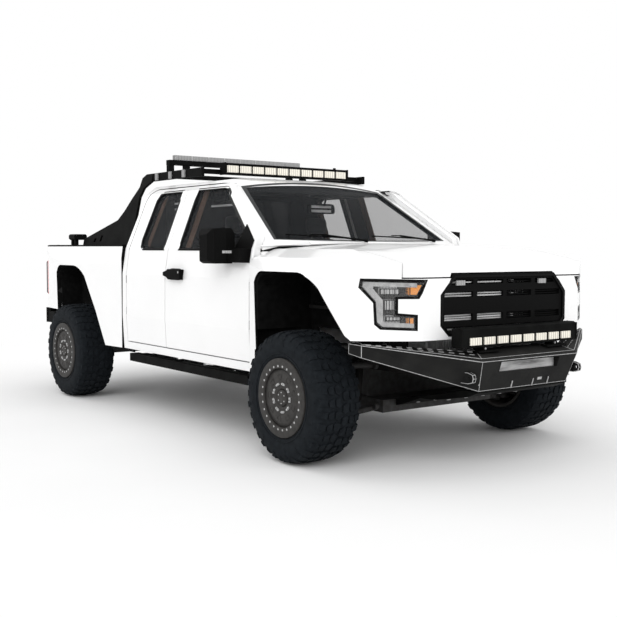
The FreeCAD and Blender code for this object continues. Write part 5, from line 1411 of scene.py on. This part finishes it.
# Under the hood
def engine_bay():
    b = Build()
    for x in [-0.2 + 0.055 * k for k in range(9)]:
        b.block((x, -0.19, 1.1295), (x + 0.025, 0.19, 1.141), "plastic")
    cover = rounded([(-0.26, -0.23), (0.34, -0.23), (0.38, 0.23), (-0.26, 0.23)], 0.05)
    b.prism(cover, level, 1.122, 1.132, "plastic")
    for way in WAYS:
        for x in [-0.2 + 0.15 * k for k in range(4)]:
            runner = [(x, 0.295, 1.02), (x, 0.36, 1), (x, 0.39, 0.92), (x + 0.02, 0.375, 0.8)]
            b.tube([(u, way * y, z) for u, y, z in runner], 0.021, "cast", sides=10)
    for y, z, radius in ((0, 0.8, 0.085), (-0.16, 0.95, 0.05), (0.17, 0.93, 0.055), (0.02, 1.03, 0.045)):
        b.tube([(0.428, y, z), (0.446, y, z)], radius, "steel", sides=28)
        b.tube([(0.446, y, z), (0.452, y, z)], radius * 0.4, "cast", sides=16)
    belt = ((-0.075, 0.75), (0.07, 0.75), (0.22, 0.91), (0.2, 0.98), (0.05, 1.075), (0, 1.073), (-0.18, 1),
            (-0.21, 0.95))
    b.tube([(0.438, y, z) for y, z in belt], 0.006, "rubber", sides=5, closed=True)
    b.tube([(0.56, -0.3, 1.09), (0.5, -0.3, 1.1), (0.45, -0.22, 1.08), (0.4, -0.16, 1.06)], 0.024, "rubber")
    b.block((-0.22, -0.62, 0.98), (0.03, -0.44, 1.145), "plastic")
    for y in (-0.585, -0.475):
        b.peg((-0.17, y, 1.145), (0, 0, 1), 0.009, 0.014, "steel", 10)
    b.block((-0.26, -0.65, 0.955), (0.06, -0.42, 0.98), "powder")
    b.block((0.16, 0.4, 0.99), (0.4, 0.64, 1.13), "plastic")
    hose = [(0.17, 0.5, 1.06), (0.05, 0.48, 1.08), (-0.02, 0.3, 1.1), (-0.02, 0.22, 1.11)]
    b.tube(hose, 0.034, "plastic", sides=12)
    b.peg((-0.2, 0.5, 1.05), (0, 0, 1), 0.045, 0.06, "bezel", 16)
    b.peg((-0.2, 0.5, 1.11), (0, 0, 1), 0.028, 0.02, "plastic", 16)
    for y in (-0.53, 0.53):
        b.block((-0.3, y - 0.15, 0.935), (0.44, y + 0.15, 0.957), "chassis")
    add("engine_bay_fittings", b, "chassis", "running_steel", bevel=0.003)


def radiator_fins():
    """Fins in front of the radiator, and the fan with its ring behind it."""
    b = Build()
    for y in [-0.4 + 0.0205 * k for k in range(40)]:
        b.prism(rect(y, 0.7, y + 0.006, 1.1), facing(0.6405), 0, 0.004, "alloy")
    fan = facing(0.5595, -1)
    b.rim(oval(0, 0.9, 0.1932, 0.19, 40), 0.012, fan, 0, 0.03, "plastic")
    for a in angles(7):
        blade = [(reach * cos(a + turn), 0.9 + reach * sin(a + turn))
                 for reach, turn in ((0.03, 0), (0.165, -0.16), (0.172, 0.14), (0.035, 0.6))]
        b.prism(blade, fan, 0.004, 0.016, "plastic")
    add("radiator_fins", b, "chassis", "bare_alloy")


# Hinges' leaves
def hood_hinges():
    b = Build()
    for y in (-0.7, 0.7):
        b.block((-0.44, y - 0.02, 1.29), (-0.34, y + 0.02, 1.302), "powder")
    add("hood_hinges", b, "hood", "black_steel", bevel=0.002)


def door_hinges():
    for door, back, front, latch in (("front", -0.59, -0.536, -1.6925), ("rear", -2.346, -2.292, -1.6995)):
        b = Build()
        for z in (0.8, 1.055):
            b.block((back, -0.975, z), (front, -0.955, z + 0.04), "paint")
        b.block((latch - 0.002, -0.975, 0.98), (latch + 0.002, -0.95, 1.06), "steel")
        both(f"door_hinge_{door}_{{side}}", b, f"{door}_door_{{side}}", "white_paint", bevel=0.001)


for make in (wheels, headlamps, grille_details, bumper_edge_highlights, bumper_details, lens_bars,
             window_seals, screen_border, mirrors, seats, dash_and_console, floor_mats,
             rear_view_mirror, grips_painted_as_light_streaks, door_cards, steering_details, bed_ribs, rail_cap_edges,
             sill_flaps, tailgate_details, tail_lamp_details, rear_end, coil_overs, joint_nuts,
             underbody_fittings, step_treads, engine_bay, radiator_fins, hood_hinges, door_hinges):
    make()


# Studio
def look(name, color, strength_seen, strength_lit):
    """World that lights plainly and shows white behind the truck and in its reflections."""
    world = bpy.data.worlds.new(name)
    bpy.context.scene.world = world
    world.use_nodes = True
    nodes, links = world.node_tree.nodes, world.node_tree.links
    back = nodes["Background"]
    back.inputs["Color"].default_value = color
    path = nodes.new("ShaderNodeLightPath")
    seen = path.outputs["Is Camera Ray"]
    for ray in ("Is Transmission Ray", "Is Glossy Ray"):
        most = nodes.new("ShaderNodeMath")
        most.operation = "MAXIMUM"
        links.new(seen, most.inputs[0])
        links.new(path.outputs[ray], most.inputs[1])
        seen = most.outputs[0]
    span = nodes.new("ShaderNodeMapRange")
    span.inputs["To Min"].default_value = strength_lit
    span.inputs["To Max"].default_value = strength_seen
    links.new(seen, span.inputs["Value"])
    links.new(span.outputs["Result"], back.inputs["Strength"])


def sun(name, aim, strength, spread):
    data = bpy.data.lights.new(name, "SUN")
    data.energy = strength
    data.angle = radians(spread)
    light = bpy.data.objects.new(name, data)
    bpy.context.scene.collection.objects.link(light)
    light.rotation_euler = Vector(aim).to_track_quat("-Z", "Y").to_euler()


def floor():
    """Pale floor that keeps the truck's shadow and fades to the white of the background further out."""
    bm = bmesh.new()
    bmesh.ops.create_circle(bm, cap_ends=True, segments=96, radius=90)
    mesh = bpy.data.meshes.new("floor")
    bm.to_mesh(mesh)
    bm.free()
    plane = bpy.data.objects.new("floor", mesh)
    bpy.context.scene.collection.objects.link(plane)
    plane.location.z = -0.001
    s = Shade("pale floor", grey(0.86), 0.9, specular=0.0)
    s.vary(s.noise(0.6), grey(0.85), grey(0.87))
    glow = s.node("ShaderNodeEmission", None, {"Strength": 1})
    away = s.node("ShaderNodeVectorMath", s.coords, operation="LENGTH")
    reach = {"From Min": 3.4, "From Max": 6.5}
    fade = s.node("ShaderNodeMapRange", away.outputs["Value"], reach, interpolation_type="SMOOTHSTEP")
    mix = s.node("ShaderNodeMixShader", fade.outputs["Result"])
    s.links.new(s.bsdf.outputs["BSDF"], mix.inputs[1])
    s.links.new(glow.outputs["Emission"], mix.inputs[2])
    s.links.new(mix.outputs["Shader"], s.nodes["Material Output"].inputs["Surface"])
    mesh.materials.append(s.mat)


def camera():
    yaw, pitch, roll = radians(36.507), radians(3.58), radians(0.111)
    forward = Vector((-cos(yaw) * cos(pitch), sin(yaw) * cos(pitch), -sin(pitch)))
    data = bpy.data.cameras.new("camera")
    data.sensor_width = 36
    data.lens = 36 * 959.5 / 617
    data.clip_end = 200
    cam = bpy.data.objects.new("camera", data)
    bpy.context.scene.collection.objects.link(cam)
    cam.location = (FRONT + 4.782, -4.446, 1.326)
    cam.rotation_mode = "QUATERNION"
    cam.rotation_quaternion = forward.to_track_quat("-Z", "Y") @ Quaternion((0, 0, 1), roll)
    bpy.context.scene.camera = cam


bpy.context.scene.view_settings.view_transform = "Standard"
look("studio", (1, 1, 1, 1), 1, 0.86)
sun("key", (-0.55, 0.62, -0.56), 1.2, 40)
sun("fill", (-0.8, -0.35, -0.45), 0.45, 40)
sun("back", (0.8, 0.3, -0.6), 0.35, 40)
floor()
camera()
